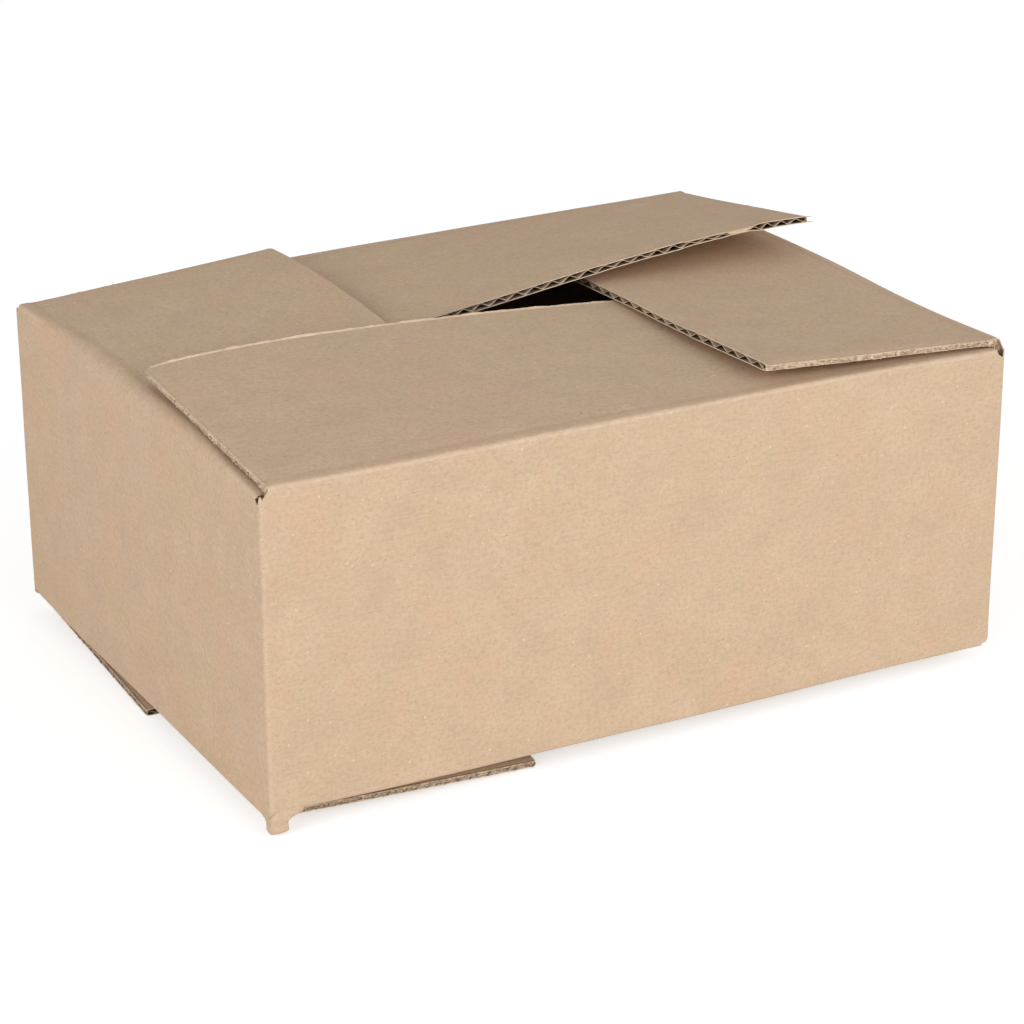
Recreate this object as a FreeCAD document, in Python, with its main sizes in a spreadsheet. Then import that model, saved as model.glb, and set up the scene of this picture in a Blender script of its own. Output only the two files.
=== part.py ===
import FreeCAD, Part
import math
import os
import re
import Sketcher

# A closed slotted carton, folded from one blank of single-wall corrugated board.
# Four walls stand in a ring, joined by a glued tab inside one back corner. Every wall
# carries a flap above and a flap below, and each flap is tucked under the next one round,
# so the flaps twist: one end rides over its neighbour and the other end dives under.
# Frame: +X along the length, +Y towards the back wall, +Z up. The origin lies under the
# middle of the carton, on the surface that it stands on.

SIZES = [
    ("length", 306.0, "outside, along the front wall"),
    ("width", 226.0, "outside, front to back"),
    ("wall_height", 122.0, "between the top and the bottom folds"),
    ("board", 3.0, "thickness of the board"),
    ("flap_depth", 107.0, "fold to free edge, the same on all eight flaps"),
    ("corner_radius", 1.6, "outside of the four upright folds"),
    ("crisp_fold", 1.8, "outside radius of the flap folds, apart from the soft ones"),
    ("soft_fold", 5.5, "outside radius of the top flap folds on the short walls"),
    ("slot_ease", 0.6, "from a wall's inner face to the end of the flap beside it"),
    ("slot_notch", 1.4, "how far the slots run past the folds into the corners"),
    ("fold_band", 14.0, "height of the band of each wall that its folds pull at"),
    ("clearance", 0.35, "between a flap and the flap that it lies on"),
    ("liner", 0.45, "each outer paper of the board"),
    ("medium", 0.42, "the fluted paper between the liners"),
    ("flute_pitch", 7.8, "crest to crest along the board"),
    ("flute_crest", 1.6, "flat of each crest, glued to its liner"),
    ("flute_run", 36.0, "how far the flutes stay open from a free edge"),
    ("tab_width", 34.0, "glued tab inside the back right corner"),
    ("tab_inset", 14.0, "from the folds to the ends of the glued tab"),
    ("glue_bite", 0.3, "how far glued or crumpled board is pressed into its neighbour"),
    ("seam_width", 0.7, "open line of the joint, across and in"),
    ("sag", 7.0, "how far the bottom flaps hang below the bottom folds"),
    ("end_skew", 5.0, "how far the back flap's raised end leans in at its free edge"),
    ("nub_drop", 5.2, "how far the crumpled corner hangs below the front left fold"),
    ("nub_width", 6.0, "crumpled corner where it leaves the fold, along each wall"),
    ("nub_tip", 4.2, "crumpled corner at its lower end, along each wall"),
    # Heights of the top flaps' upper faces above the fold level, at three places along each
    # flap from the end that rides over its neighbour. The fourth place is tucked under.
    ("front_edge_over", 10.2, "front flap, free edge"),
    ("front_edge_mid", 10.5, "front flap, free edge"),
    ("front_fold_over", 1.1, "front flap, fold"),
    ("front_fold_mid", 0.2, "front flap, fold"),
    ("front_fold_late", 0.0, "front flap, fold"),
    ("right_edge_over", 8.4, "right flap, free edge"),
    ("right_edge_mid", 7.7, "right flap, free edge"),
    ("right_edge_late", 6.0, "right flap, free edge"),
    ("right_fold_over", 1.2, "right flap, fold"),
    ("right_fold_mid", 1.8, "right flap, fold"),
    ("right_fold_late", 3.3, "right flap, fold"),
    ("back_edge_over", 19.8, "back flap, free edge"),
    ("back_edge_mid", 14.6, "back flap, free edge"),
    ("back_edge_late", 2.6, "back flap, free edge"),
    ("back_fold_over", 3.6, "back flap, fold"),
    ("back_fold_mid", 3.0, "back flap, fold"),
    ("back_fold_late", 1.9, "back flap, fold"),
    ("left_edge_over", 8.8, "left flap, free edge"),
    ("left_edge_mid", 9.2, "left flap, free edge"),
    ("left_edge_late", 3.0, "left flap, free edge"),
    ("left_fold_over", 1.8, "left flap, fold"),
    ("left_fold_mid", 3.0, "left flap, fold"),
    ("left_fold_late", 2.0, "left flap, fold"),
    # Depths of the bottom flaps' lower faces below the fold level, read the same way
    ("long_edge_mid", 4.2, "front and back bottom flaps, free edge"),
    ("long_edge_late", -1.7, "front and back bottom flaps, free edge"),
    ("short_edge_mid", 3.8, "side bottom flaps, free edge"),
    ("short_edge_late", -1.1, "side bottom flaps, free edge"),
    ("under_fold_over", 1.2, "all bottom flaps, fold"),
    ("under_fold_mid", 0.4, "all bottom flaps, fold"),
    ("under_fold_late", -0.2, "all bottom flaps, fold"),
]
ALIASES = {alias for alias, value, note in SIZES}

# A tucked end lies one board and a clearance inside the face of the flap over it
TUCKED = " - board - clearance"

# How far each end of a wall's folds stays from the corner beside it
SLOT = "(board + slot_ease)"

# Each wall in turn, going round from the front: the size that it runs along, the turn of
# its own frame, and its flaps' heights from the riding end to the tucked end.
WALLS = {
    "front": {
        "run": "length",
        "turn": 0,
        "top_fold_radius": "crisp_fold",
        "edges": ["front_edge_over", "front_edge_mid",
                  "(right_edge_mid + right_edge_late) / 2" + TUCKED,
                  "right_fold_mid" + TUCKED],
        "folds": ["front_fold_over", "front_fold_mid", "front_fold_late",
                  "right_fold_over" + TUCKED],
        "low_edges": ["sag", "long_edge_mid", "long_edge_late", "under_fold_mid" + TUCKED],
    },
    "right": {
        "run": "width",
        "turn": 90,
        "top_fold_radius": "soft_fold",
        "edges": ["right_edge_over", "right_edge_mid", "right_edge_late",
                  "back_fold_mid" + TUCKED],
        "folds": ["right_fold_over", "right_fold_mid", "right_fold_late",
                  "back_fold_over" + TUCKED],
        "low_edges": ["sag", "short_edge_mid", "short_edge_late", "under_fold_mid" + TUCKED],
    },
    "back": {
        "run": "length",
        "turn": 180,
        "top_fold_radius": "crisp_fold",
        "edges": ["back_edge_over", "back_edge_mid", "back_edge_late",
                  "left_fold_mid" + TUCKED],
        "folds": ["back_fold_over", "back_fold_mid", "back_fold_late",
                  "left_fold_over" + TUCKED],
        "low_edges": ["sag", "long_edge_mid", "long_edge_late", "under_fold_mid" + TUCKED],
    },
    "left": {
        "run": "width",
        "turn": 270,
        "top_fold_radius": "soft_fold",
        "edges": ["left_edge_over", "left_edge_mid", "left_edge_late",
                  "front_fold_mid" + TUCKED],
        "folds": ["left_fold_over", "left_fold_mid", "left_fold_late",
                  "front_fold_over" + TUCKED],
        "low_edges": ["sag", "short_edge_mid", "short_edge_late", "under_fold_mid" + TUCKED],
    },
}
LOW_FOLDS = ["under_fold_over", "under_fold_mid", "under_fold_late", "under_fold_over" + TUCKED]
STATIONS = 4
FOLD_FLATS = 3

# The sides of a wall that its flaps hang on
TOP = 1
BOTTOM = -1

# Places on a sketch line, and the sketch's own origin, level axis and upright axis
START = 1
END = 2
ORIGIN = (-1, 1)
LEVEL = -1
UPRIGHT = -2

# How far a cutting shape stands out of the board, how many steps the free edges are read
# at, and how far inside a wall's ends the last readings are taken
PROUD = 1.0
EDGE_STEPS = 18
READING_MARGIN = 0.01

doc = FreeCAD.newDocument("carton")
sheet = doc.addObject("Spreadsheet::Sheet", "sizes")
for row, (alias, value, note) in enumerate(SIZES, start=1):
    sheet.set("A%d" % row, str(value))
    sheet.set("B%d" % row, note)
    sheet.setAlias("A%d" % row, alias)
doc.recompute()


def bound(formula):
    """A formula over the sizes, as an expression that reads them from the sheet."""
    return re.sub(r"[a-z_]+", lambda word: "sizes." * (word.group() in ALIASES) + word.group(), formula)


def worth(formula):
    """The present value of a formula over the sizes, in millimetres."""
    return float(sheet.evalExpression(formula))


def tie(item, formulas):
    """Ties an object's properties to formulas over the sizes."""
    for name, formula in formulas.items():
        item.setExpression(name, bound(formula))


def plane_of(body, role):
    """One of a body's own origin planes."""
    return [item for item in body.Origin.OriginFeatures if item.Role == role][0]


def constrain(sketch, kind, places, formula=None):
    """Adds one constraint to a sketch, held to the sheet where it has a formula."""
    if formula is None:
        sketch.addConstraint(Sketcher.Constraint(kind, *places))
        return
    index = sketch.addConstraint(Sketcher.Constraint(kind, *places, worth(formula)))
    sketch.setExpression("Constraints[%d]" % index, bound(formula))


def fold_radius(wall, side):
    """The size that gives the outside radius of one flap's fold."""
    return wall["top_fold_radius"] if side == TOP else "crisp_fold"


def flap_heights(wall, side, station):
    """The formulas for one flap's fold and free edge, out from the middle of the wall."""
    place = station if side == TOP else STATIONS - 1 - station
    folds = wall["folds"] if side == TOP else LOW_FOLDS
    edges = wall["edges"] if side == TOP else wall["low_edges"]
    return "wall_height / 2 + " + folds[place], "wall_height / 2 + " + edges[place]


def flap_outline(wall, side, station):
    """The corners of one flap in section, and its tilt, for a sketch to start from."""
    fold, edge = (worth(formula) for formula in flap_heights(wall, side, station))
    tilt = math.asin((edge - fold) / worth("flap_depth"))
    board = worth("board")
    reach = worth(fold_radius(wall, side)) * math.tan(math.pi / 4 - tilt / 2)
    out = FreeCAD.Vector(math.cos(tilt), side * math.sin(tilt), 0)
    inward = FreeCAD.Vector(math.sin(tilt), -side * math.cos(tilt), 0) * board
    crease = FreeCAD.Vector(0, side * fold, 0)
    free_outer = crease + out * worth("flap_depth")
    inner_rise = (board - inward.x) / out.x * out.y
    return {
        "tilt": tilt,
        "crease": crease,
        "on_wall": FreeCAD.Vector(0, side * (fold - reach), 0),
        "on_flap": crease + out * reach,
        "free_outer": free_outer,
        "free_inner": free_outer + inward,
        "inner_corner": FreeCAD.Vector(board, crease.y + inward.y + inner_rise, 0),
    }


def draw_flap(sketch, wall, side, station, outline, wall_outer, wall_inner):
    """Draws one flap's section on to the wall's two lines, with its rounded fold."""
    wall_end = END if side == TOP else START
    outer = sketch.addGeometry(Part.LineSegment(outline["on_flap"], outline["free_outer"]), False)
    cut = sketch.addGeometry(Part.LineSegment(outline["free_outer"], outline["free_inner"]), False)
    inner = sketch.addGeometry(Part.LineSegment(outline["free_inner"], outline["inner_corner"]), False)
    radius = worth(fold_radius(wall, side))
    middle = FreeCAD.Vector(radius, outline["on_wall"].y, 0)
    circle = Part.Circle(middle, FreeCAD.Vector(0, 0, 1), radius)
    if side == TOP:
        from_angle, to_angle = math.pi / 2 + outline["tilt"], math.pi
        fold_on_flap, fold_on_wall = START, END
    else:
        from_angle, to_angle = math.pi, 1.5 * math.pi - outline["tilt"]
        fold_on_flap, fold_on_wall = END, START
    fold = sketch.addGeometry(Part.ArcOfCircle(circle, from_angle, to_angle), True)
    crease = sketch.addGeometry(Part.Point(outline["crease"]), True)

    # The pressed fold breaks into flats between the wall and the flap, all on one round
    angles = [from_angle + (to_angle - from_angle) * step / FOLD_FLATS for step in range(FOLD_FLATS + 1)]
    if side == TOP:
        angles.reverse()
    turns = [middle + FreeCAD.Vector(math.cos(angle), math.sin(angle), 0) * radius for angle in angles]
    flats = [sketch.addGeometry(Part.LineSegment(a, b), False) for a, b in zip(turns, turns[1:])]
    for flat, following in zip(flats, flats[1:]):
        constrain(sketch, "Coincident", (flat, END, following, START))
        constrain(sketch, "PointOnObject", (flat, END, fold))
        constrain(sketch, "Equal", (flat, following))
    constrain(sketch, "Coincident", (flats[0], START, wall_outer, wall_end))
    constrain(sketch, "Coincident", (flats[-1], END, outer, START))

    constrain(sketch, "Tangent", (fold, fold_on_wall, wall_outer, wall_end))
    constrain(sketch, "Tangent", (fold, fold_on_flap, outer, START))
    constrain(sketch, "Coincident", (outer, END, cut, START))
    constrain(sketch, "Coincident", (cut, END, inner, START))
    constrain(sketch, "Coincident", (inner, END, wall_inner, wall_end))
    constrain(sketch, "Perpendicular", (outer, cut))
    constrain(sketch, "Parallel", (outer, inner))
    constrain(sketch, "PointOnObject", (crease, START, UPRIGHT))
    constrain(sketch, "PointOnObject", (crease, START, outer))
    constrain(sketch, "Radius", (fold,), fold_radius(wall, side))
    constrain(sketch, "Distance", (outer, END, cut, END), "board")
    constrain(sketch, "Distance", (crease, START, outer, END), "flap_depth")
    for point, formula in zip(((crease, START), (outer, END)), flap_heights(wall, side, station)):
        span = (*ORIGIN, *point) if side == TOP else (*point, *ORIGIN)
        constrain(sketch, "DistanceY", span, formula)


def section_sketch(body, name, wall, station):
    """The board cut across at one place along a wall: the wall with both its flaps."""
    sketch = body.newObject("Sketcher::SketchObject", name)
    sketch.AttachmentSupport = [(plane_of(body, "YZ_Plane"), "")]
    sketch.MapMode = "FlatFace"
    along = "%s + (%s - 2 * %s) * %d / %d" % (SLOT, wall["run"], SLOT, station, STATIONS - 1)
    tie(sketch, {"AttachmentOffset.Base.z": along})

    outlines = {side: flap_outline(wall, side, station) for side in (TOP, BOTTOM)}
    wall_outer, wall_inner = (
        sketch.addGeometry(Part.LineSegment(outlines[BOTTOM][key], outlines[TOP][key]), False)
        for key in ("on_wall", "inner_corner"))
    constrain(sketch, "Vertical", (wall_inner,))
    constrain(sketch, "PointOnObject", (wall_outer, START, UPRIGHT))
    constrain(sketch, "PointOnObject", (wall_outer, END, UPRIGHT))
    constrain(sketch, "DistanceX", (*ORIGIN, wall_inner, START), "board")
    for side in (TOP, BOTTOM):
        draw_flap(sketch, wall, side, station, outlines[side], wall_outer, wall_inner)
    sketch.Visibility = False
    return sketch


def turned(wall):
    """Where a wall's own frame lies: at its left corner seen from outside, at mid height."""
    corner = FreeCAD.Vector(-worth("length / 2"), -worth("width / 2"), worth("sag + wall_height / 2"))
    if wall["turn"] in (90, 180):
        corner.x = -corner.x
    if wall["turn"] in (180, 270):
        corner.y = -corner.y
    return FreeCAD.Placement(corner, FreeCAD.Rotation(FreeCAD.Vector(0, 0, 1), wall["turn"]))


def wall_body(name, wall):
    """One wall with both its flaps, lofted through its sections from slot to slot."""
    body = doc.addObject("PartDesign::Body", name + "_wall")
    sections = [section_sketch(body, "%s_section_%d" % (name, station), wall, station)
                for station in range(STATIONS)]
    doc.recompute()
    loft = body.newObject("PartDesign::AdditiveLoft", name + "_board")
    loft.Profile = sections[0]
    loft.Sections = sections[1:]
    loft.Ruled = False
    body.Tip = loft
    body.Placement = turned(wall)
    doc.recompute()
    return body


def read_edges(shape, wall):
    """Reads where both free edges lie, at even steps along a wall in its own frame.

    Gives for each side a list of: place along, outer edge point, way out, way into the board."""
    slot = worth(SLOT)
    run = worth(wall["run"])
    half_depth = worth("flap_depth / 2")
    readings = {TOP: [], BOTTOM: []}
    for step in range(EDGE_STEPS + 1):
        along = slot + (run - 2 * slot) * step / EDGE_STEPS
        reading_at = min(max(along, slot + READING_MARGIN), run - slot - READING_MARGIN)
        wires = shape.slice(FreeCAD.Vector(1, 0, 0), reading_at)
        points = [vertex.Point for wire in wires for vertex in wire.Vertexes]
        for side in (TOP, BOTTOM):
            outwards = sorted((p for p in points if p.z * side > 0), key=lambda p: p.z * side)
            free = [p for p in outwards if p.y > half_depth]
            fold_outer = [p for p in outwards if p.y < half_depth][-1]
            out = (free[-1] - fold_outer).normalize()
            inward = (free[0] - free[-1]).normalize()
            readings[side].append((along, free[-1], out, inward))
    return readings


def between(readings, along):
    """The edge point and ways at any place along, from the readings either side of it."""
    step = readings[1][0] - readings[0][0]
    index = int((along - readings[0][0]) // step)
    index = min(max(index, 0), len(readings) - 2)
    share = (along - readings[index][0]) / step
    before, after = readings[index], readings[index + 1]
    edge, out, inward = (a + (b - a) * share for a, b in zip(before[1:], after[1:]))
    edge.x = along
    return edge, out, inward


def prism(corners, way):
    """A straight prism on a closed outline of corners."""
    side_faces = [Part.Face(Part.makePolygon([a, b, b + way, a + way, a]))
                  for a, b in zip(corners, corners[1:] + corners[:1])]
    ends = [Part.Face(Part.makePolygon(end + end[:1]))
            for end in (corners, [corner + way for corner in corners])]
    return Part.makeSolid(Part.makeShell(side_faces + ends))


def flute_voids(shape, wall):
    """The open flutes of a wall's two flaps, as channels that run in from each free edge."""
    half_pitch = worth("flute_pitch / 2")
    liner = worth("liner")
    board = worth("board")
    medium = worth("medium")
    half_crest = worth("flute_crest / 2")
    # The medium slants from liner to liner between its glued crests. A channel is narrow by
    # the crest that closes it and wide by the liner, with one leg of medium at each side.
    core = board - 2 * liner
    slant = math.atan2(core, half_pitch - 2 * half_crest)
    leg = medium / math.sin(slant)
    spread = core / (core - medium)
    half_mouth = (half_pitch - leg - half_crest * spread) / (2 - spread)
    run = worth(wall["run"])
    slot = worth(SLOT)
    # The tucked stretch of each edge is inside the carton, closed between its neighbours
    count = int((run - slot - worth("flap_depth")) / half_pitch) + 1
    readings = read_edges(shape, wall)
    voids = []
    for side in (TOP, BOTTOM):
        start = slot if side == TOP else run - slot
        for step in range(count + 1):
            middle = start + side * step * half_pitch
            base, tip = liner, board - liner - medium
            if step % 2:
                base, tip = board - base, board - tip
            corners = []
            for offset, depth in ((-half_mouth, base), (half_mouth, base),
                                  (half_crest, tip), (-half_crest, tip)):
                edge, out, inward = between(readings[side], middle + offset)
                corners.append(edge + out * PROUD + inward * depth)
            edge, out, inward = between(readings[side], middle)
            # The mouth is made flat before it is drawn in along its own flute
            middle_point = sum(corners[1:], corners[0]) * (1 / len(corners))
            flat = [corner - out * (corner - middle_point).dot(out) for corner in corners]
            voids.append(prism(flat, out * -(worth("flute_run") + PROUD)))
    return voids


def skewed_end(panel):
    """The back flap with its raised end leaning in, towards its free edge."""
    lean = doc.addObject("Part::Box", "end_lean")
    tie(lean, {
        "Length": "flap_depth + board + 2 * end_skew",
        "Width": "2 * end_skew",
        "Height": "back_edge_over + board + 2 * clearance",
        "Placement.Base.x": "length / 2 - board - slot_ease",
        "Placement.Base.y": "width / 2 - board - clearance",
        "Placement.Base.z": "sag + wall_height - board",
    })
    lean_angle = -90 - math.degrees(math.atan2(worth("end_skew"), worth("flap_depth")))
    lean.Placement.Rotation = FreeCAD.Rotation(FreeCAD.Vector(0, 0, 1), lean_angle)
    skewed = doc.addObject("Part::Cut", "skewed_panel")
    skewed.Base = panel
    skewed.Tool = lean
    return skewed


def wall_plate(name, wall):
    """The flat middle of a wall, clear of both folds."""
    plate = doc.addObject("Part::Box", name + "_plate")
    tie(plate, {
        "Length": "%s - 2 * %s" % (wall["run"], SLOT),
        "Width": "board",
        "Height": "wall_height - 2 * fold_band",
    })
    in_frame = FreeCAD.Vector(worth(SLOT), 0, worth("fold_band - wall_height / 2"))
    plate.Placement = turned(wall) * FreeCAD.Placement(in_frame, FreeCAD.Rotation())
    return plate


def fluted_panels(name, body, wall):
    """Both flaps of a wall, with the flutes open along their free edges.

    They end at the bands beside the folds, where the wall's flat middle takes over."""
    flat = Part.makeBox(worth(wall["run"]), worth("board") + 2 * PROUD, worth("wall_height - 2 * fold_band"))
    flat.translate(FreeCAD.Vector(0, -PROUD, worth("fold_band - wall_height / 2")))
    voids = doc.addObject("Part::Feature", name + "_flutes")
    voids.Shape = Part.makeCompound([flat] + flute_voids(body.Tip.Shape, wall))
    voids.Placement = body.Placement
    panels = doc.addObject("Part::Cut", name + "_flaps")
    panels.Base = body
    panels.Tool = voids
    return panels


def corner_body(name, wall):
    """One upright fold: a round-backed angle of board that reaches to the slots each way."""
    body = doc.addObject("PartDesign::Body", name)
    sketch = body.newObject("Sketcher::SketchObject", name + "_section")
    sketch.AttachmentSupport = [(plane_of(body, "XY_Plane"), "")]
    sketch.MapMode = "FlatFace"
    board = worth("board")
    reach = worth(SLOT)
    radius = worth("corner_radius")
    around = [(radius, 0), (reach, 0), (reach, board), (board, board),
              (board, reach), (0, reach), (0, radius)]
    points = [FreeCAD.Vector(x, y, 0) for x, y in around]
    lines = [sketch.addGeometry(Part.LineSegment(a, b), False) for a, b in zip(points, points[1:])]
    circle = Part.Circle(FreeCAD.Vector(radius, radius, 0), FreeCAD.Vector(0, 0, 1), radius)
    fold = sketch.addGeometry(Part.ArcOfCircle(circle, math.pi, 1.5 * math.pi), False)
    for line, following in zip(lines, lines[1:]):
        constrain(sketch, "Coincident", (line, END, following, START))
    for line, kind in zip(lines, ("Horizontal", "Vertical") * 3):
        constrain(sketch, kind, (line,))
    constrain(sketch, "Tangent", (fold, END, lines[0], START))
    constrain(sketch, "Tangent", (fold, START, lines[-1], END))
    constrain(sketch, "PointOnObject", (lines[0], END, LEVEL))
    constrain(sketch, "PointOnObject", (lines[-1], START, UPRIGHT))
    constrain(sketch, "Radius", (fold,), "corner_radius")
    constrain(sketch, "DistanceX", (*ORIGIN, lines[0], END), SLOT)
    constrain(sketch, "DistanceX", (*ORIGIN, lines[2], END), "board")
    constrain(sketch, "DistanceY", (*ORIGIN, lines[1], END), "board")
    constrain(sketch, "DistanceY", (*ORIGIN, lines[-1], START), SLOT)
    sketch.Visibility = False
    doc.recompute()
    pad = body.newObject("PartDesign::Pad", name + "_fold")
    pad.Profile = sketch
    pad.Midplane = True
    tie(pad, {"Length": "wall_height - 2 * slot_notch"})
    body.Tip = pad
    body.Placement = turned(wall)
    return body


def glue_tab():
    """The joint: the back wall's tab turns in behind the right wall and is glued there."""
    tab = doc.addObject("Part::Box", "glue_tab")
    tie(tab, {
        "Length": "board + glue_bite",
        "Width": "tab_width + 2 * glue_bite",
        "Height": "wall_height - 2 * tab_inset",
        "Placement.Base.x": "length / 2 - 2 * board",
        "Placement.Base.y": "width / 2 - board - tab_width - glue_bite",
        "Placement.Base.z": "sag + tab_inset",
    })
    return tab


def joint_line():
    """The open line of the joint, on the back wall, one board in from the corner."""
    line = doc.addObject("Part::Box", "joint_line")
    tie(line, {
        "Length": "seam_width",
        "Width": "2 * seam_width",
        "Height": "wall_height",
        "Placement.Base.x": "length / 2 - board",
        "Placement.Base.y": "width / 2 - seam_width",
        "Placement.Base.z": "sag",
    })
    return line


def crumpled_corner():
    """The crumpled end of a bottom fold, which shows below the front left corner."""
    nub = doc.addObject("Part::Wedge", "crumpled_corner")
    tie(nub, {
        "Xmin": "0 * nub_width",
        "Xmax": "nub_width",
        "Ymin": "0 * nub_width",
        "Ymax": "nub_drop + slot_notch + glue_bite",
        "Zmin": "0 * nub_width",
        "Zmax": "nub_width",
        "X2min": "nub_width / 10",
        "X2max": "nub_width / 10 + nub_tip",
        "Z2min": "nub_width / 10",
        "Z2max": "nub_width / 10 + nub_tip",
        "Placement.Base.x": "glue_bite - length / 2",
        "Placement.Base.y": "glue_bite - width / 2",
        "Placement.Base.z": "sag + slot_notch + glue_bite",
    })
    nub.Placement.Rotation = FreeCAD.Rotation(FreeCAD.Vector(1, 0, 0), -90)
    return nub


walls = {name: wall_body(name, wall) for name, wall in WALLS.items()}
plates = [wall_plate(name, wall) for name, wall in WALLS.items()]
panels = {name: fluted_panels(name, body, WALLS[name]) for name, body in walls.items()}
panels["back"] = skewed_end(panels["back"])
corners = {name: corner_body(name + "_corner", wall) for name, wall in WALLS.items()}
jointed_corner = doc.addObject("Part::Cut", "jointed_corner")
jointed_corner.Base = corners.pop("back")
jointed_corner.Tool = joint_line()

folded_box = doc.addObject("Part::MultiFuse", "folded_box")
upright = [*plates, *corners.values(), jointed_corner]
folded_box.Shapes = [*upright, *panels.values(), glue_tab(), crumpled_corner()]
folded_box.Label = "folded_box"
doc.recompute()

for item in doc.Objects:
    if "Invalid" in item.State or "Error" in item.State:
        raise RuntimeError("%s failed: %s" % (item.Name, item.State))
if folded_box.Shape.isNull() or not folded_box.Shape.isValid():
    raise RuntimeError("folded_box has no valid shape")
if len(folded_box.Shape.Solids) != 1:
    raise RuntimeError("folded_box is %d solids" % len(folded_box.Shape.Solids))

os.makedirs("parts", exist_ok=True)
folded_box.Shape.exportStep("parts/%s.step" % folded_box.Label)
box = folded_box.Shape.optimalBoundingBox()
corners_of_box = (box.XMin, box.YMin, box.ZMin, box.XMax, box.YMax, box.ZMax)
print("folded_box", round(folded_box.Shape.Volume), "mm3,", len(folded_box.Shape.Faces), "faces")
print("box", [round(value, 2) for value in corners_of_box])
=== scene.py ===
"""A closed carton of brown corrugated board, built as an add-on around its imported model.

The carton is one sheet, bent round into four walls with a flap above and below each wall.
Every place on the sheet is worked out in the frame of the wall that it belongs to:
  along   from the wall's left corner, seen from outside, to its right corner
  inward  from the wall's outer face into the carton
  height  up, with the top and the bottom folds at equal distances from the wall's middle
Sizes are in millimetres. The meshes are made in metres.
"""

import math
import random

import bmesh
import bpy
from mathutils import Matrix, Vector, noise


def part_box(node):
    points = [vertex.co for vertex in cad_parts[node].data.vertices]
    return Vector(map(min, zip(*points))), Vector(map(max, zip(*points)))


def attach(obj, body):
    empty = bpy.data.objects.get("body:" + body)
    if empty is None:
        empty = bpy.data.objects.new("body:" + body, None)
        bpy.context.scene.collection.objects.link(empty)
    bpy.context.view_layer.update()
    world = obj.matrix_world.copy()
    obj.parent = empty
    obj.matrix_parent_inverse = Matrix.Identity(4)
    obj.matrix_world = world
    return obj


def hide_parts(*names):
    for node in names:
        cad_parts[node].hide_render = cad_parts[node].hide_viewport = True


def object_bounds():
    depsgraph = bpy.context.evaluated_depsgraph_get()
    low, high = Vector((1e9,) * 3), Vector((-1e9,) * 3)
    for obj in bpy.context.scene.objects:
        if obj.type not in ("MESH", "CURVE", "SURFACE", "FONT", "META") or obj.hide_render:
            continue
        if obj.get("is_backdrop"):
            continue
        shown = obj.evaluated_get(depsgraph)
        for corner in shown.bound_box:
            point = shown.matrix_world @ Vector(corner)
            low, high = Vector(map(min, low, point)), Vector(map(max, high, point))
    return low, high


bl_info = {
    "name": "Folded Carton",
    "version": (1, 0, 0),
    "blender": (4, 5, 0),
    "location": "3D View > Sidebar > Carton",
    "description": "Builds a closed corrugated carton with open flutes and interlocked flaps",
    "category": "Add Mesh",
}

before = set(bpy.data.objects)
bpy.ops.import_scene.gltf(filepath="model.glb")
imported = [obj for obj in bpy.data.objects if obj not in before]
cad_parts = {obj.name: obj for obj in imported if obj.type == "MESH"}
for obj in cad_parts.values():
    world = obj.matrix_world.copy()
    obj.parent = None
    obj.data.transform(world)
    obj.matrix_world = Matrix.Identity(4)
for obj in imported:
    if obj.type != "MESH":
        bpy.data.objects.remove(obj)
CAD_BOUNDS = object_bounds()
NODE = "folded_box"
BODY = "root"
CAD_LOW, CAD_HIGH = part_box(NODE)

MM = 0.001
TOP = 1
BOTTOM = -1
LENGTH = (CAD_HIGH.x - CAD_LOW.x) / MM
WIDTH = (CAD_HIGH.y - CAD_LOW.y) / MM


def size_prop(name, description, default):
    """A size of the sheet, in millimetres as the whole file has them."""
    return bpy.props.FloatProperty(name=name, description=description, default=default)


def heights_prop(name, description, default):
    """Heights above the fold level at three places, from the end that rides over a neighbour."""
    return bpy.props.FloatVectorProperty(name=name, description=description, size=3,
                                         default=default)


def colour_prop(name, description, default):
    return bpy.props.FloatVectorProperty(name=name, description=description, size=3,
                                         subtype="COLOR", min=0, max=1, default=default)


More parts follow.
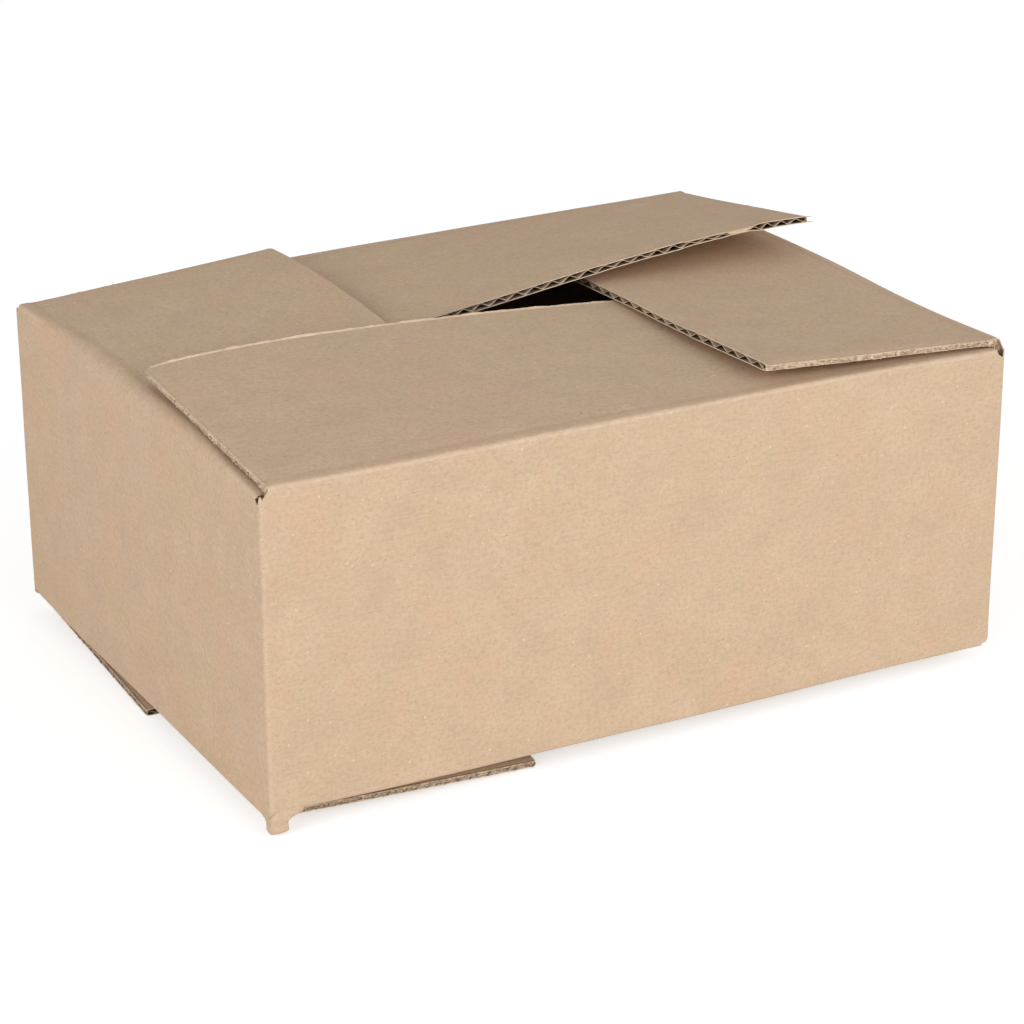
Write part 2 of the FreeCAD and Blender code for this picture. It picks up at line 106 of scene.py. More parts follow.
class CartonSizes(bpy.types.PropertyGroup):
    """Sizes of the sheet in millimetres, and how far its flaps are lifted."""

    wall_height: size_prop("Wall height", "Between the top and the bottom folds", 122.0)
    sag: size_prop("Sag", "How far the bottom flaps hang below their folds", 7.0)
    board: size_prop("Board", "Thickness of the board", 3.0)
    flap_depth: size_prop("Flap depth", "Fold to free edge", 107.0)
    clearance: size_prop("Clearance", "Between a flap and the flap under it", 0.35)
    slot: size_prop("Slot", "Corner to the nearest end of a flap", 3.6)
    notch: size_prop("Notch", "How far the slots run past the folds", 1.4)
    corner_radius: size_prop("Corner radius", "Outside of the upright folds", 1.6)
    crisp_fold: size_prop("Crisp fold", "Radius of the long walls' and all bottom folds", 1.8)
    soft_fold: size_prop("Soft fold", "Radius of the top folds on the short walls", 5.5)
    liner: size_prop("Liner", "Thickness of each outer paper", 0.34)
    medium: size_prop("Medium", "Thickness of the fluted paper", 0.24)
    flute_pitch: size_prop("Flute pitch", "Crest to crest", 7.8)
    flute_room: size_prop("Flute room", "How far in the open flutes are modelled", 13.0)
    cut_room: size_prop("Cut room", "Hollow behind the rough slot-cut ends", 2.8)
    end_skew: size_prop("End skew", "How far the back flap's raised end leans in", 5.0)
    tab_width: size_prop("Tab width", "Glued tab inside the joint", 34.0)
    tab_inset: size_prop("Tab inset", "From the folds to the tab's ends", 14.0)
    front_edge: heights_prop("Front edge", "Front flap's free edge", (10.2, 10.5, 3.5))
    front_fold: heights_prop("Front fold", "Front flap's fold", (1.1, 0.2, 0.0))
    right_edge: heights_prop("Right edge", "Right flap's free edge", (8.4, 7.7, 6.0))
    right_fold: heights_prop("Right fold", "Right flap's fold", (1.2, 1.8, 3.3))
    back_edge: heights_prop("Back edge", "Back flap's free edge", (19.8, 14.6, 2.6))
    back_fold: heights_prop("Back fold", "Back flap's fold", (3.6, 3.0, 1.9))
    left_edge: heights_prop("Left edge", "Left flap's free edge", (8.8, 9.2, 3.0))
    left_fold: heights_prop("Left fold", "Left flap's fold", (1.8, 3.0, 2.0))
    long_low_edge: heights_prop("Long bottom edges", "Long walls' bottom flaps", (7.0, 4.2, -1.7))
    short_low_edge: heights_prop("Short bottom edges", "Short walls' bottom flaps",
                                 (7.0, 3.8, -1.1))
    low_fold: heights_prop("Bottom folds", "Folds of all bottom flaps", (1.2, 0.4, -0.2))


class CartonColours(bpy.types.PropertyGroup):
    """Colours of the papers and of the stage."""

    kraft: colour_prop("Kraft", "Outer liner", (0.652, 0.470, 0.321))
    # also the colour of the painted highlights along folds and edges
    pale_kraft: colour_prop("Pale kraft", "Light fibres and scuffs", (0.820, 0.640, 0.470))
    dark_kraft: colour_prop("Dark kraft", "Dark flecks", (0.250, 0.155, 0.095))
    cut: colour_prop("Cut edge", "Cut ends of the liners", (0.640, 0.480, 0.340))
    flute: colour_prop("Fluted paper", "Medium between the liners", (0.330, 0.230, 0.150))
    floor: colour_prop("Floor", "Studio floor", (0.80, 0.80, 0.80))


def sizes():
    return bpy.context.scene.carton_sizes


def colours():
    return bpy.context.scene.carton_colours


def add_object(name, data):
    thing = bpy.data.objects.new(name, data)
    bpy.context.scene.collection.objects.link(thing)
    return thing


def through_stations(values, share):
    """A cubic through four values at equal steps, read at a share of the way along."""
    place = share * 3
    total = 0.0
    for i, value in enumerate(values):
        weight = 1.0
        for j in range(4):
            if j != i:
                weight *= (place - j) / (i - j)
        total += value * weight
    return total


def bell(distance, width):
    """1 at no distance, falling smoothly to nothing over about twice the width."""
    return math.exp(-(distance / width) ** 2)


def ramp(value, start, end):
    """0 at start, 1 at end, smooth between them."""
    share = min(max((value - start) / (end - start), 0.0), 1.0)
    return share * share * (3 - 2 * share)


def ripple(place, size, seed):
    """Smooth noise between about -1 and 1 with features of one size."""
    return noise.noise(place / size + Vector((seed, seed * 0.7, -seed)))


def wander(distance, size, seed):
    """Smooth noise along a line."""
    return noise.noise(Vector((distance / size, seed, 3.7 * seed)))


# Waves of the board out of its true plane: size, seed, height
SWELLS = ((85.0, 3.1, 0.45), (30.0, 9.4, 0.12))


def board_swell(point):
    return sum(ripple(point, size, seed) * height for size, seed, height in SWELLS)


# A soft fold is crisp up to the first distance from a corner, and fully soft from the second
SOFTENING = (4.0, 70.0)


class Wall:
    """One wall of the carton with the flap above it and the flap below it.

    start is the place of its left corner on the blank. heights gives, above and below, the
    fold's and the free edge's heights at four stations."""

    def __init__(self, name, corner, along, inward, run, start, top_fold_radius, heights):
        self.name = name
        self.corner = Vector(corner)
        self.along = Vector(along)
        self.inward = Vector(inward)
        self.run = run
        self.start = start
        self.top_fold_radius = top_fold_radius
        self.heights = heights

    def place(self, along, inward, height):
        """A point of the wall's frame in the carton's frame."""
        middle = sizes().sag + sizes().wall_height / 2
        return (self.corner + self.along * along + self.inward * inward
                + Vector((0, 0, middle + height)))

    def way(self, along, inward, height):
        return self.along * along + self.inward * inward + Vector((0, 0, height))

    def fold_radius(self, side, along):
        """The top folds of the short walls are soft, but crisp where they near a corner."""
        crisp = sizes().crisp_fold
        if side == BOTTOM:
            return crisp
        to_corner = min(along, self.run - along)
        return crisp + (self.top_fold_radius - crisp) * ramp(to_corner, *SOFTENING)

    def fold_and_tilt(self, side, along):
        """How far the fold lies out from the wall's middle at a place, and the flap's tilt."""
        set_ = sizes()
        share = (along - set_.slot) / (self.run - 2 * set_.slot)
        share = min(max(share, 0.0), 1.0)
        if side == BOTTOM:
            share = 1 - share
        folds, edges = self.heights[side]
        fold = through_stations(folds, share)
        edge = through_stations(edges, share)
        return set_.wall_height / 2 + fold, math.asin((edge - fold) / set_.flap_depth)


def make_walls():
    """The four walls in the order of the blank, from the glued joint round."""
    set_ = sizes()
    tuck = set_.board + set_.clearance

    def heights(name, over, low_edge):
        """The fourth station is tucked under the flap that lies over this one."""
        edge = list(getattr(set_, name + "_edge"))
        fold = list(getattr(set_, name + "_fold"))
        over_fold = list(getattr(set_, over + "_fold"))
        low_edge = list(low_edge)
        low_fold = list(set_.low_fold)
        return {
            TOP: (fold + [over_fold[0] - tuck], edge + [over_fold[1] - tuck]),
            BOTTOM: (low_fold + [low_fold[0] - tuck], low_edge + [low_fold[1] - tuck]),
        }

    x, y = LENGTH / 2, WIDTH / 2
    return [
        Wall("back", (x, y, 0), (-1, 0, 0), (0, -1, 0), LENGTH, 0.0, set_.crisp_fold,
             heights("back", "left", set_.long_low_edge)),
        Wall("left", (-x, y, 0), (0, -1, 0), (1, 0, 0), WIDTH, LENGTH, set_.soft_fold,
             heights("left", "front", set_.short_low_edge)),
        Wall("front", (-x, -y, 0), (1, 0, 0), (0, 1, 0), LENGTH, LENGTH + WIDTH, set_.crisp_fold,
             heights("front", "right", set_.long_low_edge)),
        Wall("right", (x, -y, 0), (0, 1, 0), (-1, 0, 0), WIDTH, 2 * LENGTH + WIDTH, set_.soft_fold,
             heights("right", "back", set_.short_low_edge)),
    ]


# Rows of the sheet, out from the middle of a wall: shares of the plain wall, shares of the
# fold's turn before and after the slot's end, then distances beyond the fold on the flap
WALL_ROWS = [0.0, 0.15, 0.3, 0.45, 0.6, 0.72, 0.82, 0.9, 0.96, 1.0]
FOLD_ROWS_BEFORE = [0.0, 0.5, 1.0]
FOLD_ROWS_AFTER = [0.2, 0.4, 0.6, 0.8, 1.0]
FLAP_ROWS = [0.8, 1.7, 2.6, 3.6, 5.0, 7.0, 9.4]
FLAP_ROW_COUNT = 26
RIM_ROWS = [1.3, 0.55, 0.0]
NOTCH_ROW = len(WALL_ROWS) + len(FOLD_ROWS_BEFORE) - 1
FOLD_ROW_END = NOTCH_ROW + len(FOLD_ROWS_AFTER)
PLAIN_MARGIN = 1.0
INNER_FOLD_RADIUS = 0.4
TURN_SINES = (0.08, 0.9)
# Crease behind each fold, with painted shade in it
SCORE_PLACE = 2.2
SCORE_WIDTH = 1.5
SCORE_DEPTH = 0.16
SCORE_SHADE = 0.5
# Board that the knife crushed at a flap's ends: share lost, reach, and where it sets in
END_CRUSH = 0.3
END_CRUSH_REACH = 2.2
END_CRUSH_START = 5.0
# Board crushed along a free edge: least share lost, share that comes and goes, its wave
EDGE_CRUSH = (0.05, 0.10, 21.0)
EDGE_CRUSH_ONSET = (0.1, 0.5)
EDGE_CRUSH_REACH = 10.0
CRUSH_SHADE = 0.35
# Places where a free edge has been squeezed: middle and half-length along the wall, share lost
SQUEEZED = {("back", TOP): [(40.5, 7.5, 0.50), (57.0, 9.0, 0.34), (92.0, 12.0, 0.18)],
            ("right", TOP): [(70.0, 16.0, 0.22)]}
SQUEEZE_OUT, SQUEEZE_IN = 4.0, 2.0
# How much further or less far than its depth a flap reaches at one end: reach, run, at far end
REACHES = {("right", TOP): (-3.3, 70.0, False), ("back", BOTTOM): (6.0, 80.0, True)}
CORNER_ROUNDING = 1.0
WORN_CORNER = ("front", TOP, False)
WORN_CORNER_ROUNDING = 2.6
EDGE_WAVE = (0.10, 7.0)
# How far a flap's near and far end lean in at its free edge; the back flap's near end is a size
END_LEANS = {("back", BOTTOM): (0.8, -2.4), ("right", TOP): (1.4, 0.8)}
USUAL_LEANS = (0.8, 0.8)
LEAN_RUN = 45.0
# How far the outer liner's cut edge curls up
BURR = 0.12
# Painted highlights along the folds: how strong where crisp or soft, and their middle and width in
# rows
FOLD_HIGHLIGHTS = (0.5, 0.12)
CRISP_LIMIT = 3.0
HIGHLIGHT_ROW, HIGHLIGHT_ROWS = 1.5, 2.0


class Spot:
    """One place on the sheet: its outer face, its inner face and where it lies on the blank.

    The blank's third coordinate says how pale the paper is, from wear and from painted highlights,
    up to 1, or how dark it is below 0, from painted shade in dents, creases, hollows and
    underneath."""

    def __init__(self, outer, inner, sheet):
        self.outer = outer
        self.inner = inner
        self.sheet = sheet

    @property
    def out(self):
        return (self.outer - self.inner).normalized()

    @property
    def middle(self):
        return (self.outer + self.inner) / 2

    def toward(self, other, share):
        return Spot(self.outer.lerp(other.outer, share), self.inner.lerp(other.inner, share),
                    self.sheet.lerp(other.sheet, share))


def flap_reach(wall, side, along):
    """A flap's depth from fold to free edge at one place, less its rounded corners."""
    set_ = sizes()
    near = along - set_.slot
    far = wall.run - set_.slot - along
    depth = set_.flap_depth
    if (wall.name, side) in REACHES:
        reach, run, at_far = REACHES[wall.name, side]
        depth += reach * ramp(far if at_far else near, run, 0.0)
    for distance, is_far in ((near, False), (far, True)):
        wear_and_painted_light = (wall.name, side, is_far) == WORN_CORNER
        radius = WORN_CORNER_ROUNDING if wear_and_painted_light else CORNER_ROUNDING
        gap = max(radius - max(distance, 0.0), 0.0)
        depth -= radius - math.sqrt(radius ** 2 - gap ** 2)
    height, size = EDGE_WAVE
    return depth + height * wander(along, size, wall.start + side)


def edge_crush(wall, side, along):
    """Share of the board's thickness that is lost at the free edge."""
    least, more, size = EDGE_CRUSH
    lost = least + more * ramp(wander(along, size, wall.start * 0.01 + side), *EDGE_CRUSH_ONSET)
    for middle, half, share in SQUEEZED.get((wall.name, side), ()):
        squeeze = ramp(abs(along - middle), half + SQUEEZE_OUT, half - SQUEEZE_IN)
        lost = max(lost, share * squeeze)
    return lost


def half_section(wall, side, along):
    """The board's section at one place along a wall, from the wall's middle to a free edge.

    Gives the rows and the distances from the crease to where the flap starts and ends. A row
    is outer (inward, height), inner (inward, height), outward normal and its distance from the
    crease along the flap, below nothing on the wall."""
    set_ = sizes()
    board = set_.board
    crease, tilt = wall.fold_and_tilt(side, along)
    lean = math.tan(math.pi / 4 - tilt / 2)
    radius = wall.fold_radius(side, along)
    wide = max(radius, board + INNER_FOLD_RADIUS)
    inner_radius = wide - board
    turn = math.pi / 2 - tilt
    least, most = TURN_SINES
    before_slot = math.asin(min(max((radius * lean - set_.notch) / radius, least), most))

    rows = []
    plain = crease - wide * lean - PLAIN_MARGIN
    for share in WALL_ROWS:
        height = plain * share
        rows.append(((0.0, height), (board, height), (-1.0, 0.0), -1.0))
    angles = [before_slot * share for share in FOLD_ROWS_BEFORE]
    angles += [before_slot + (turn - before_slot) * share for share in FOLD_ROWS_AFTER]
    for angle in angles:
        normal = (-math.cos(angle), math.sin(angle))
        outer = (radius + radius * normal[0], crease - radius * lean + radius * normal[1])
        inner = (wide + inner_radius * normal[0], crease - wide * lean + inner_radius * normal[1])
        rows.append((outer, inner, normal, -1.0))
    normal = (-math.sin(tilt), math.cos(tilt))
    reach = flap_reach(wall, side, along)
    distances = [wide * lean + step for step in FLAP_ROWS]
    start = distances[-1]
    step = (reach - RIM_ROWS[0] - start) / FLAP_ROW_COUNT
    distances += [start + step * (k + 1) for k in range(FLAP_ROW_COUNT - 1)]
    distances += [reach - back for back in RIM_ROWS]
    for distance in distances:
        outer = (distance * math.cos(tilt), crease + distance * math.sin(tilt))
        inner = (outer[0] - normal[0] * board, outer[1] - normal[1] * board)
        rows.append((outer, inner, normal, distance))
    return rows, wide * lean, reach


def end_lean(wall, side, along, distance):
    """How far a flap's slot-cut ends lean in along the wall, at a distance from the crease."""
    set_ = sizes()
    if distance <= 0:
        return 0.0
    share = distance / set_.flap_depth
    near, far = END_LEANS.get((wall.name, side), USUAL_LEANS)
    if (wall.name, side) == ("back", TOP):
        near = set_.end_skew
    from_near = ramp(along - set_.slot, LEAN_RUN, 0.0)
    from_far = ramp(wall.run - set_.slot - along, LEAN_RUN, 0.0)
    return share * (near * from_near - far * from_far)


def half_column(wall, side, along, last=None):
    """The spots of the sheet at one place along a wall, from its middle to a free edge.

    last keeps only so many spots next to the free edge."""
    set_ = sizes()
    to_end = min(along - set_.slot, wall.run - set_.slot - along)
    rows, fold_end, reach = half_section(wall, side, along)
    lost = edge_crush(wall, side, along)
    fold_highlight = FOLD_HIGHLIGHTS[wall.fold_radius(side, along) >= CRISP_LIMIT]
    half = []
    travelled = 0.0
    before = rows[0][0]
    for index, (outer, inner, normal, distance) in enumerate(rows):
        travelled += math.dist(outer, before)
        before = outer
        if last is not None and index < len(rows) - last:
            continue
        at = along + end_lean(wall, side, along, distance)
        point = wall.place(at, outer[0], side * outer[1])
        under = wall.place(at, inner[0], side * inner[1])
        out = wall.way(0, normal[0], side * normal[1])
        swell = board_swell(point)
        wear_and_painted_light = 0.0
        # painted highlight along the fold's bend
        if NOTCH_ROW <= index <= FOLD_ROW_END:
            wear_and_painted_light = fold_highlight * bell(index - NOTCH_ROW - HIGHLIGHT_ROW, HIGHLIGHT_ROWS)
        if distance > 0:
            dent = bell(distance - fold_end - SCORE_PLACE, SCORE_WIDTH)
            # painted shade in the crease
            wear_and_painted_light -= SCORE_SHADE * dent
            swell -= SCORE_DEPTH * dent
            onset = ramp(distance, fold_end, fold_end + END_CRUSH_START)
            crush = END_CRUSH * onset * bell(to_end, END_CRUSH_REACH)
            crush = max(crush, lost * ramp(reach - distance, EDGE_CRUSH_REACH, 0.0))
            point = point - out * crush * set_.board * 0.5
            under = under + out * crush * set_.board * 0.5
            wear_and_painted_light += CRUSH_SHADE * crush
            # the outer liner's cut edge curls up, and a painted highlight runs along it
            if index == len(rows) - 1:
                point = point + out * BURR
                wear_and_painted_light = 1.0
        point = point + out * swell
        under = under + out * swell
        half.append(Spot(point, under, Vector((wall.start + along, side * travelled, wear_and_painted_light))))
    return half


def wall_column(wall, along):
    """All the spots of the sheet at one place along a wall, bottom free edge to top free edge."""
    return half_column(wall, BOTTOM, along)[:0:-1] + half_column(wall, TOP, along)


UPRIGHT_STEPS = 6
UPRIGHT_INNER_RADIUS = 0.3
UPRIGHT_LEAST_RADIUS = 0.5
# Painted highlight down each upright fold: strength, and width as a share of the way round
UPRIGHT_HIGHLIGHT, UPRIGHT_HIGHLIGHT_WIDTH = 0.35, 0.3
SLOT_MARGIN = 0.2
# How far the knife's cuts run down beside each upright fold at the top, and where round it
SLOT_DIP = 2.4
DIP_PLACES = (0.2, 0.8)
DIP_WIDTH = 0.16
RISE_WIDTH = 0.15
ROW_GAP = 0.03


def corner_columns(before, after, last, first, rise=0.0):
    """Spots round an upright fold, between the last column of one wall and the next one's first.

    rise lifts the fold's own tip above the cuts."""
    set_ = sizes()
    middle = len(last) // 2
    rows = range(middle - NOTCH_ROW, middle + NOTCH_ROW + 1)
    corner = after.corner

    def between(row, face, share):
        low, high = getattr(last[row], face).z, getattr(first[row], face).z
        return low + (high - low) * share

    def level(row, face, share):
        """Height of a row between the two walls, kept below the knife's cuts."""
        height = between(row, face, share)
        if row <= middle:
            return height
        rim = (between(rows[-1], face, share) + rise * bell(share - 0.5, RISE_WIDTH)
               - SLOT_DIP * sum(bell(share - place, DIP_WIDTH) for place in DIP_PLACES))
        return rim if row == rows[-1] else min(height, rim - ROW_GAP * (rows[-1] - row))

    columns = []
    for step in range(UPRIGHT_STEPS + 1):
        share = (step + 1) / (UPRIGHT_STEPS + 2)
        angle = math.pi / 2 * step / UPRIGHT_STEPS
        column = [None] * len(last)
        for row in rows:
            a, b = last[row], first[row]
            # how far the folds pull each face in here
            pull_a = (a.outer - corner).dot(before.inward)
            pull_b = (b.outer - corner).dot(after.inward)
            room = set_.slot - SLOT_MARGIN - max(pull_a, pull_b)
            radius = max(min(set_.corner_radius, room), UPRIGHT_LEAST_RADIUS)
            faces = []
            for depth, bend in ((0.0, radius), (set_.board, UPRIGHT_INNER_RADIUS)):
                along_a = pull_b + depth + bend * (1 - math.sin(angle))
                along_b = pull_a + depth + bend * (1 - math.cos(angle))
                faces.append(corner - before.along * along_a + after.along * along_b)
            outer, inner = faces
            outer.z = level(row, "outer", share)
            inner.z = level(row, "inner", share)
            # painted highlight down the middle of the upright fold
            wear_and_painted_light = UPRIGHT_HIGHLIGHT * bell(share - 0.5, UPRIGHT_HIGHLIGHT_WIDTH)
            sheet = Vector((after.start - set_.slot + 2 * set_.slot * share, a.sheet.y, wear_and_painted_light))
            column[row] = Spot(outer, inner, sheet)
        columns.append(column)
    return columns


class PaperMesh:
    """Gathers points and faces with their places on the blank, and makes them one piece.

    A face's kind is the place of its paper in the list that papers() gives."""

    OUTER, INNER, CUT, HOLLOW = 0, 1, 2, 3
    # Painted shade in the hollows behind the cut edges
    PAINTED_HOLLOW_SHADE = -0.5

    def __init__(self):
        self.points = []
        self.faces = []
        self.kinds = []
        self.sheet = []

    def add_point(self, point, sheet):
        self.points.append(point)
        self.sheet.append(sheet)
        return len(self.points) - 1

    def add_face(self, corners, kind):
        self.faces.append(corners)
        self.kinds.append(kind)

    def add_tube(self, rings, kinds, sheets):
        """Closed skin over rings of points, with a kind for each step round a ring."""
        count = len(rings[0])
        numbers = [[self.add_point(p, s) for p, s in zip(ring, sheet)]
                   for ring, sheet in zip(rings, sheets)]
        for near, far in zip(numbers, numbers[1:]):
            for k in range(count):
                following = (k + 1) % count
                self.add_face((near[k], near[following], far[following], far[k]), kinds[k])
        self.add_face(tuple(reversed(numbers[0])), kinds[0])
        self.add_face(tuple(numbers[-1]), kinds[0])

    def add_spike(self, root, tip, side, up, sheet, kind=CUT):
        """A thin paper fibre or torn point with a four-sided root."""
        ring = [self.add_point(root + way, sheet) for way in (side, up, -side, -up)]
        end = self.add_point(tip, sheet)
        for k in range(4):
            self.add_face((ring[k], ring[(k + 1) % 4], end), kind)
        self.add_face(tuple(reversed(ring)), kind)

    def skin(self, spots, cells, edge_profile):
        """Closes the board over its cells, each a loop of four spots.

        edge_profile(a) gives the points across the board's cut edge at spot a."""
        outer = [self.add_point(s.outer, s.sheet) for s in spots]
        inner = [self.add_point(s.inner, s.sheet) for s in spots]
        seen = set()
        for a, b, c, d in cells:
            self.add_face((outer[a], outer[b], outer[c], outer[d]), self.OUTER)
            self.add_face((inner[d], inner[c], inner[b], inner[a]), self.INNER)
            seen.update(((a, b), (b, c), (c, d), (d, a)))
        open_edges = sorted((a, b) for (a, b) in seen if (b, a) not in seen)
        profiles = {}
        for spot in sorted({spot for edge in open_edges for spot in edge}):
            between = [self.add_point(p, spots[spot].sheet) for p in edge_profile(spot)]
            profiles[spot] = [outer[spot]] + between + [inner[spot]]
        for a, b in open_edges:
            pa, pb = profiles[a], profiles[b]
            for k in range(len(pa) - 1):
                kind = self.CUT if k in (0, len(pa) - 2) else self.HOLLOW
                self.add_face((pb[k], pa[k], pa[k + 1], pb[k + 1]), kind)

    def build(self, name, materials, face_outward=True):
        """Makes the piece, which rides on the carton's body and stands for its node."""
        mesh = bpy.data.meshes.new(name)
        mesh.from_pydata([tuple(p * MM) for p in self.points], [], self.faces)
        for material in materials:
            mesh.materials.append(material)
        mesh.polygons.foreach_set("material_index", self.kinds)
        smooth = [kind in (self.OUTER, self.INNER) for kind in self.kinds]
        mesh.polygons.foreach_set("use_smooth", smooth)
        attribute = mesh.attributes.new("sheet", "FLOAT_VECTOR", "CORNER")
        flat = []
        for corners, kind in zip(self.faces, self.kinds):
            for corner in corners:
                place = self.sheet[corner]
                # hollow faces get painted shade
                wear_and_painted_light = min(place.z, self.PAINTED_HOLLOW_SHADE) if kind == self.HOLLOW else place.z
                flat += (place.x * MM, place.y * MM, wear_and_painted_light)
        attribute.data.foreach_set("vector", flat)
        if face_outward:
            shaped = bmesh.new()
            shaped.from_mesh(mesh)
            bmesh.ops.recalc_face_normals(shaped, faces=shaped.faces)
            shaped.to_mesh(mesh)
            shaped.free()
        mesh.validate()
        mesh.update()
        thing = add_object(name, mesh)
        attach(thing, BODY)
        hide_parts(NODE)


# Distances from a flap's end of its closest columns, the last one at the tab's fold
CLOSE_COLUMNS = [0.0, 0.5, 1.2, 2.2, 3.0]
TAB_COLUMN = len(CLOSE_COLUMNS) - 1
COLUMNS_PER_FLUTE = 3


def column_places(wall):
    """Places along a wall for the sheet's columns, closer together near the ends."""
    set_ = sizes()
    start, end = set_.slot, wall.run - set_.slot
    margin = CLOSE_COLUMNS[-1]
    step = set_.flute_pitch / COLUMNS_PER_FLUTE
    count = round((end - start - 2 * margin) / step)
    between = [start + margin + (end - start - 2 * margin) * k / count for k in range(1, count)]
    return ([start + c for c in CLOSE_COLUMNS] + between
            + [end - c for c in reversed(CLOSE_COLUMNS)])


class NodeWork:
    """Adds nodes to a material or a world, each fed by sockets or by plain values."""

    def __init__(self, tree):
        self.nodes = tree.nodes
        self.links = tree.links

    def feed(self, socket, value):
        if isinstance(value, bpy.types.NodeSocket):
            self.links.new(value, socket)
        else:
            socket.default_value = value

    def fill(self, node, inputs):
        for name, value in inputs.items():
            self.feed(node.inputs[name], value)
        return node

    def add(self, kind, output, inputs):
        """One output of a new node, some of whose inputs are fed."""
        return self.fill(self.nodes.new(kind), inputs).outputs[output]

    def maths(self, operation, first, second):
        node = self.nodes.new("ShaderNodeMath")
        node.operation = operation
        self.feed(node.inputs[0], first)
        self.feed(node.inputs[1], second)
        return node.outputs["Value"]

    def scaled(self, source, scale, shift=(0.0, 0.0, 0.0)):
        return self.add("ShaderNodeMapping", "Vector",
                        {"Vector": source, "Scale": scale, "Location": shift})

    def noise_of(self, source, scale, detail, rough):
        return self.add("ShaderNodeTexNoise", "Fac", {
            "Vector": source, "Scale": scale, "Detail": detail, "Roughness": rough})

    def specks(self, source, scale, radius, shift):
        """1 inside small round specks scattered through space, 0 elsewhere."""
        moved = self.scaled(source, (1.0, 1.0, 1.0), shift)
        cells = self.add("ShaderNodeTexVoronoi", "Distance", {"Vector": moved, "Scale": scale})
        return self.banded(cells, radius * 0.5, radius, 1.0, 0.0)

    def banded(self, source, low, high, out_low, out_high):
        return self.add("ShaderNodeMapRange", "Result", {
            "Value": source, "From Min": low, "From Max": high, "To Min": out_low,
            "To Max": out_high})

    def mixed(self, factor, under, over):
        """One colour laid over another by a factor. A plain colour has three numbers."""
        mix = self.nodes.new("ShaderNodeMix")
        mix.data_type = "RGBA"
        self.links.new(factor, mix.inputs["Factor"])
        for socket, value in ((mix.inputs["A"], under), (mix.inputs["B"], over)):
            plain = not isinstance(value, bpy.types.NodeSocket)
            self.feed(socket, (*value, 1.0) if plain else value)
        return mix.outputs["Result"]


def toned(colour, factors):
    return tuple(min(c * f, 1.0) for c, f in zip(colour, factors))


def shaded(colour, factor):
    return toned(colour, [factor] * 3)


def new_material(name):
    material = bpy.data.materials.new(name)
    material.use_nodes = True
    return material, NodeWork(material.node_tree)


def grain_material(name, base, contrast, bump, rough, flecks, painted_shade_strength):
    """Paper of one colour with fibres, mottling, streaks and flecks, laid out on the sheet, made
    paler by wear and painted highlights and darker by painted shade.
    """
    tint = colours()
    material, work = new_material(name)
    blank = work.nodes.new("ShaderNodeAttribute")
    blank.attribute_name = "sheet"
    sheet = blank.outputs["Vector"]
    wear_and_painted_light = work.add("ShaderNodeSeparateXYZ", "Z", {"Vector": sheet})
    here = work.add("ShaderNodeTexCoord", "Object", {})

    # fibres and streaks run along the sheet, the rest lies evenly in space
    fibres = work.noise_of(work.scaled(sheet, (210.0, 1500.0, 0.0)), 1.0, 4.0, 0.65)
    streaks = work.noise_of(work.scaled(sheet, (34.0, 520.0, 0.0)), 1.0, 3.0, 0.55)
    grain = work.noise_of(here, 620.0, 3.5, 0.75)
    mottle = work.noise_of(here, 60.0, 4.0, 0.6)
    clouds = work.noise_of(here, 9.0, 3.0, 0.5)
    blush = work.noise_of(work.scaled(here, (1.0, 1.0, 1.0), (3.0, 1.0, 7.0)), 48.0, 3.0, 0.55)
    olive = work.noise_of(work.scaled(here, (1.0, 1.0, 1.0), (8.0, 5.0, 2.0)), 62.0, 3.0, 0.55)

    dark = shaded(base, 1 - contrast)
    pale = shaded(base, 1 + contrast * 0.8)
    colour = work.mixed(work.banded(mottle, 0.35, 0.65, 0.0, 1.0), dark, pale)
    # each layer: its noise, where it sets in, where it is full, its strength and its colour
    for layer, low, high, strength, over in (
            (blush, 0.50, 0.68, 0.9, toned(base, (1.035, 0.965, 0.935))),
            (olive, 0.52, 0.70, 0.8, toned(base, (0.965, 0.995, 0.90))),
            (fibres, 0.42, 0.66, contrast * 5.0, tint.pale_kraft),
            (grain, 0.46, 0.68, contrast * 8.5, shaded(base, 0.70)),
            (streaks, 0.50, 0.72, contrast * 3.2, shaded(base, 0.80)),
            (clouds, 0.35, 0.70, 0.045, shaded(base, 0.80))):
        colour = work.mixed(work.banded(layer, low, high, 0.0, strength), colour, over)
    for scale, radius, shift, strength, over in (
            (150.0, 0.085, (0.31, 0.12, 0.77), 0.75, tint.pale_kraft),
            (190.0, 0.065, (0.93, 0.58, 0.22), 0.60, tint.dark_kraft)):
        specks = work.specks(here, scale, radius, shift)
        colour = work.mixed(work.maths("MULTIPLY", specks, strength * flecks), colour, over)
    # pale where the paper is worn and where highlights are painted along folds and edges
    wear_and_highlight = work.maths("MULTIPLY", work.banded(wear_and_painted_light, 0.05, 1.0, 0.0, 0.75),
                       work.banded(fibres, 0.30, 0.60, 0.35, 1.0))
    colour = work.mixed(wear_and_highlight, colour, tint.pale_kraft)
    # painted shade in creases, hollows, pits and on the undersides
    painted_shade = work.maths("MULTIPLY", work.banded(wear_and_painted_light, -0.05, -0.5, 0.0, painted_shade_strength),
                       work.banded(streaks, 0.35, 0.60, 0.3, 1.0))
    colour = work.mixed(painted_shade, colour, shaded(base, 0.30))
    raised = work.add("ShaderNodeBump", "Normal", {
        "Height": work.maths("ADD", fibres, grain), "Strength": bump, "Distance": 0.0002})
    work.fill(work.nodes["Principled BSDF"], {
        "Base Color": colour, "Normal": raised, "Roughness": rough, "Specular IOR Level": 0.25})
    return material


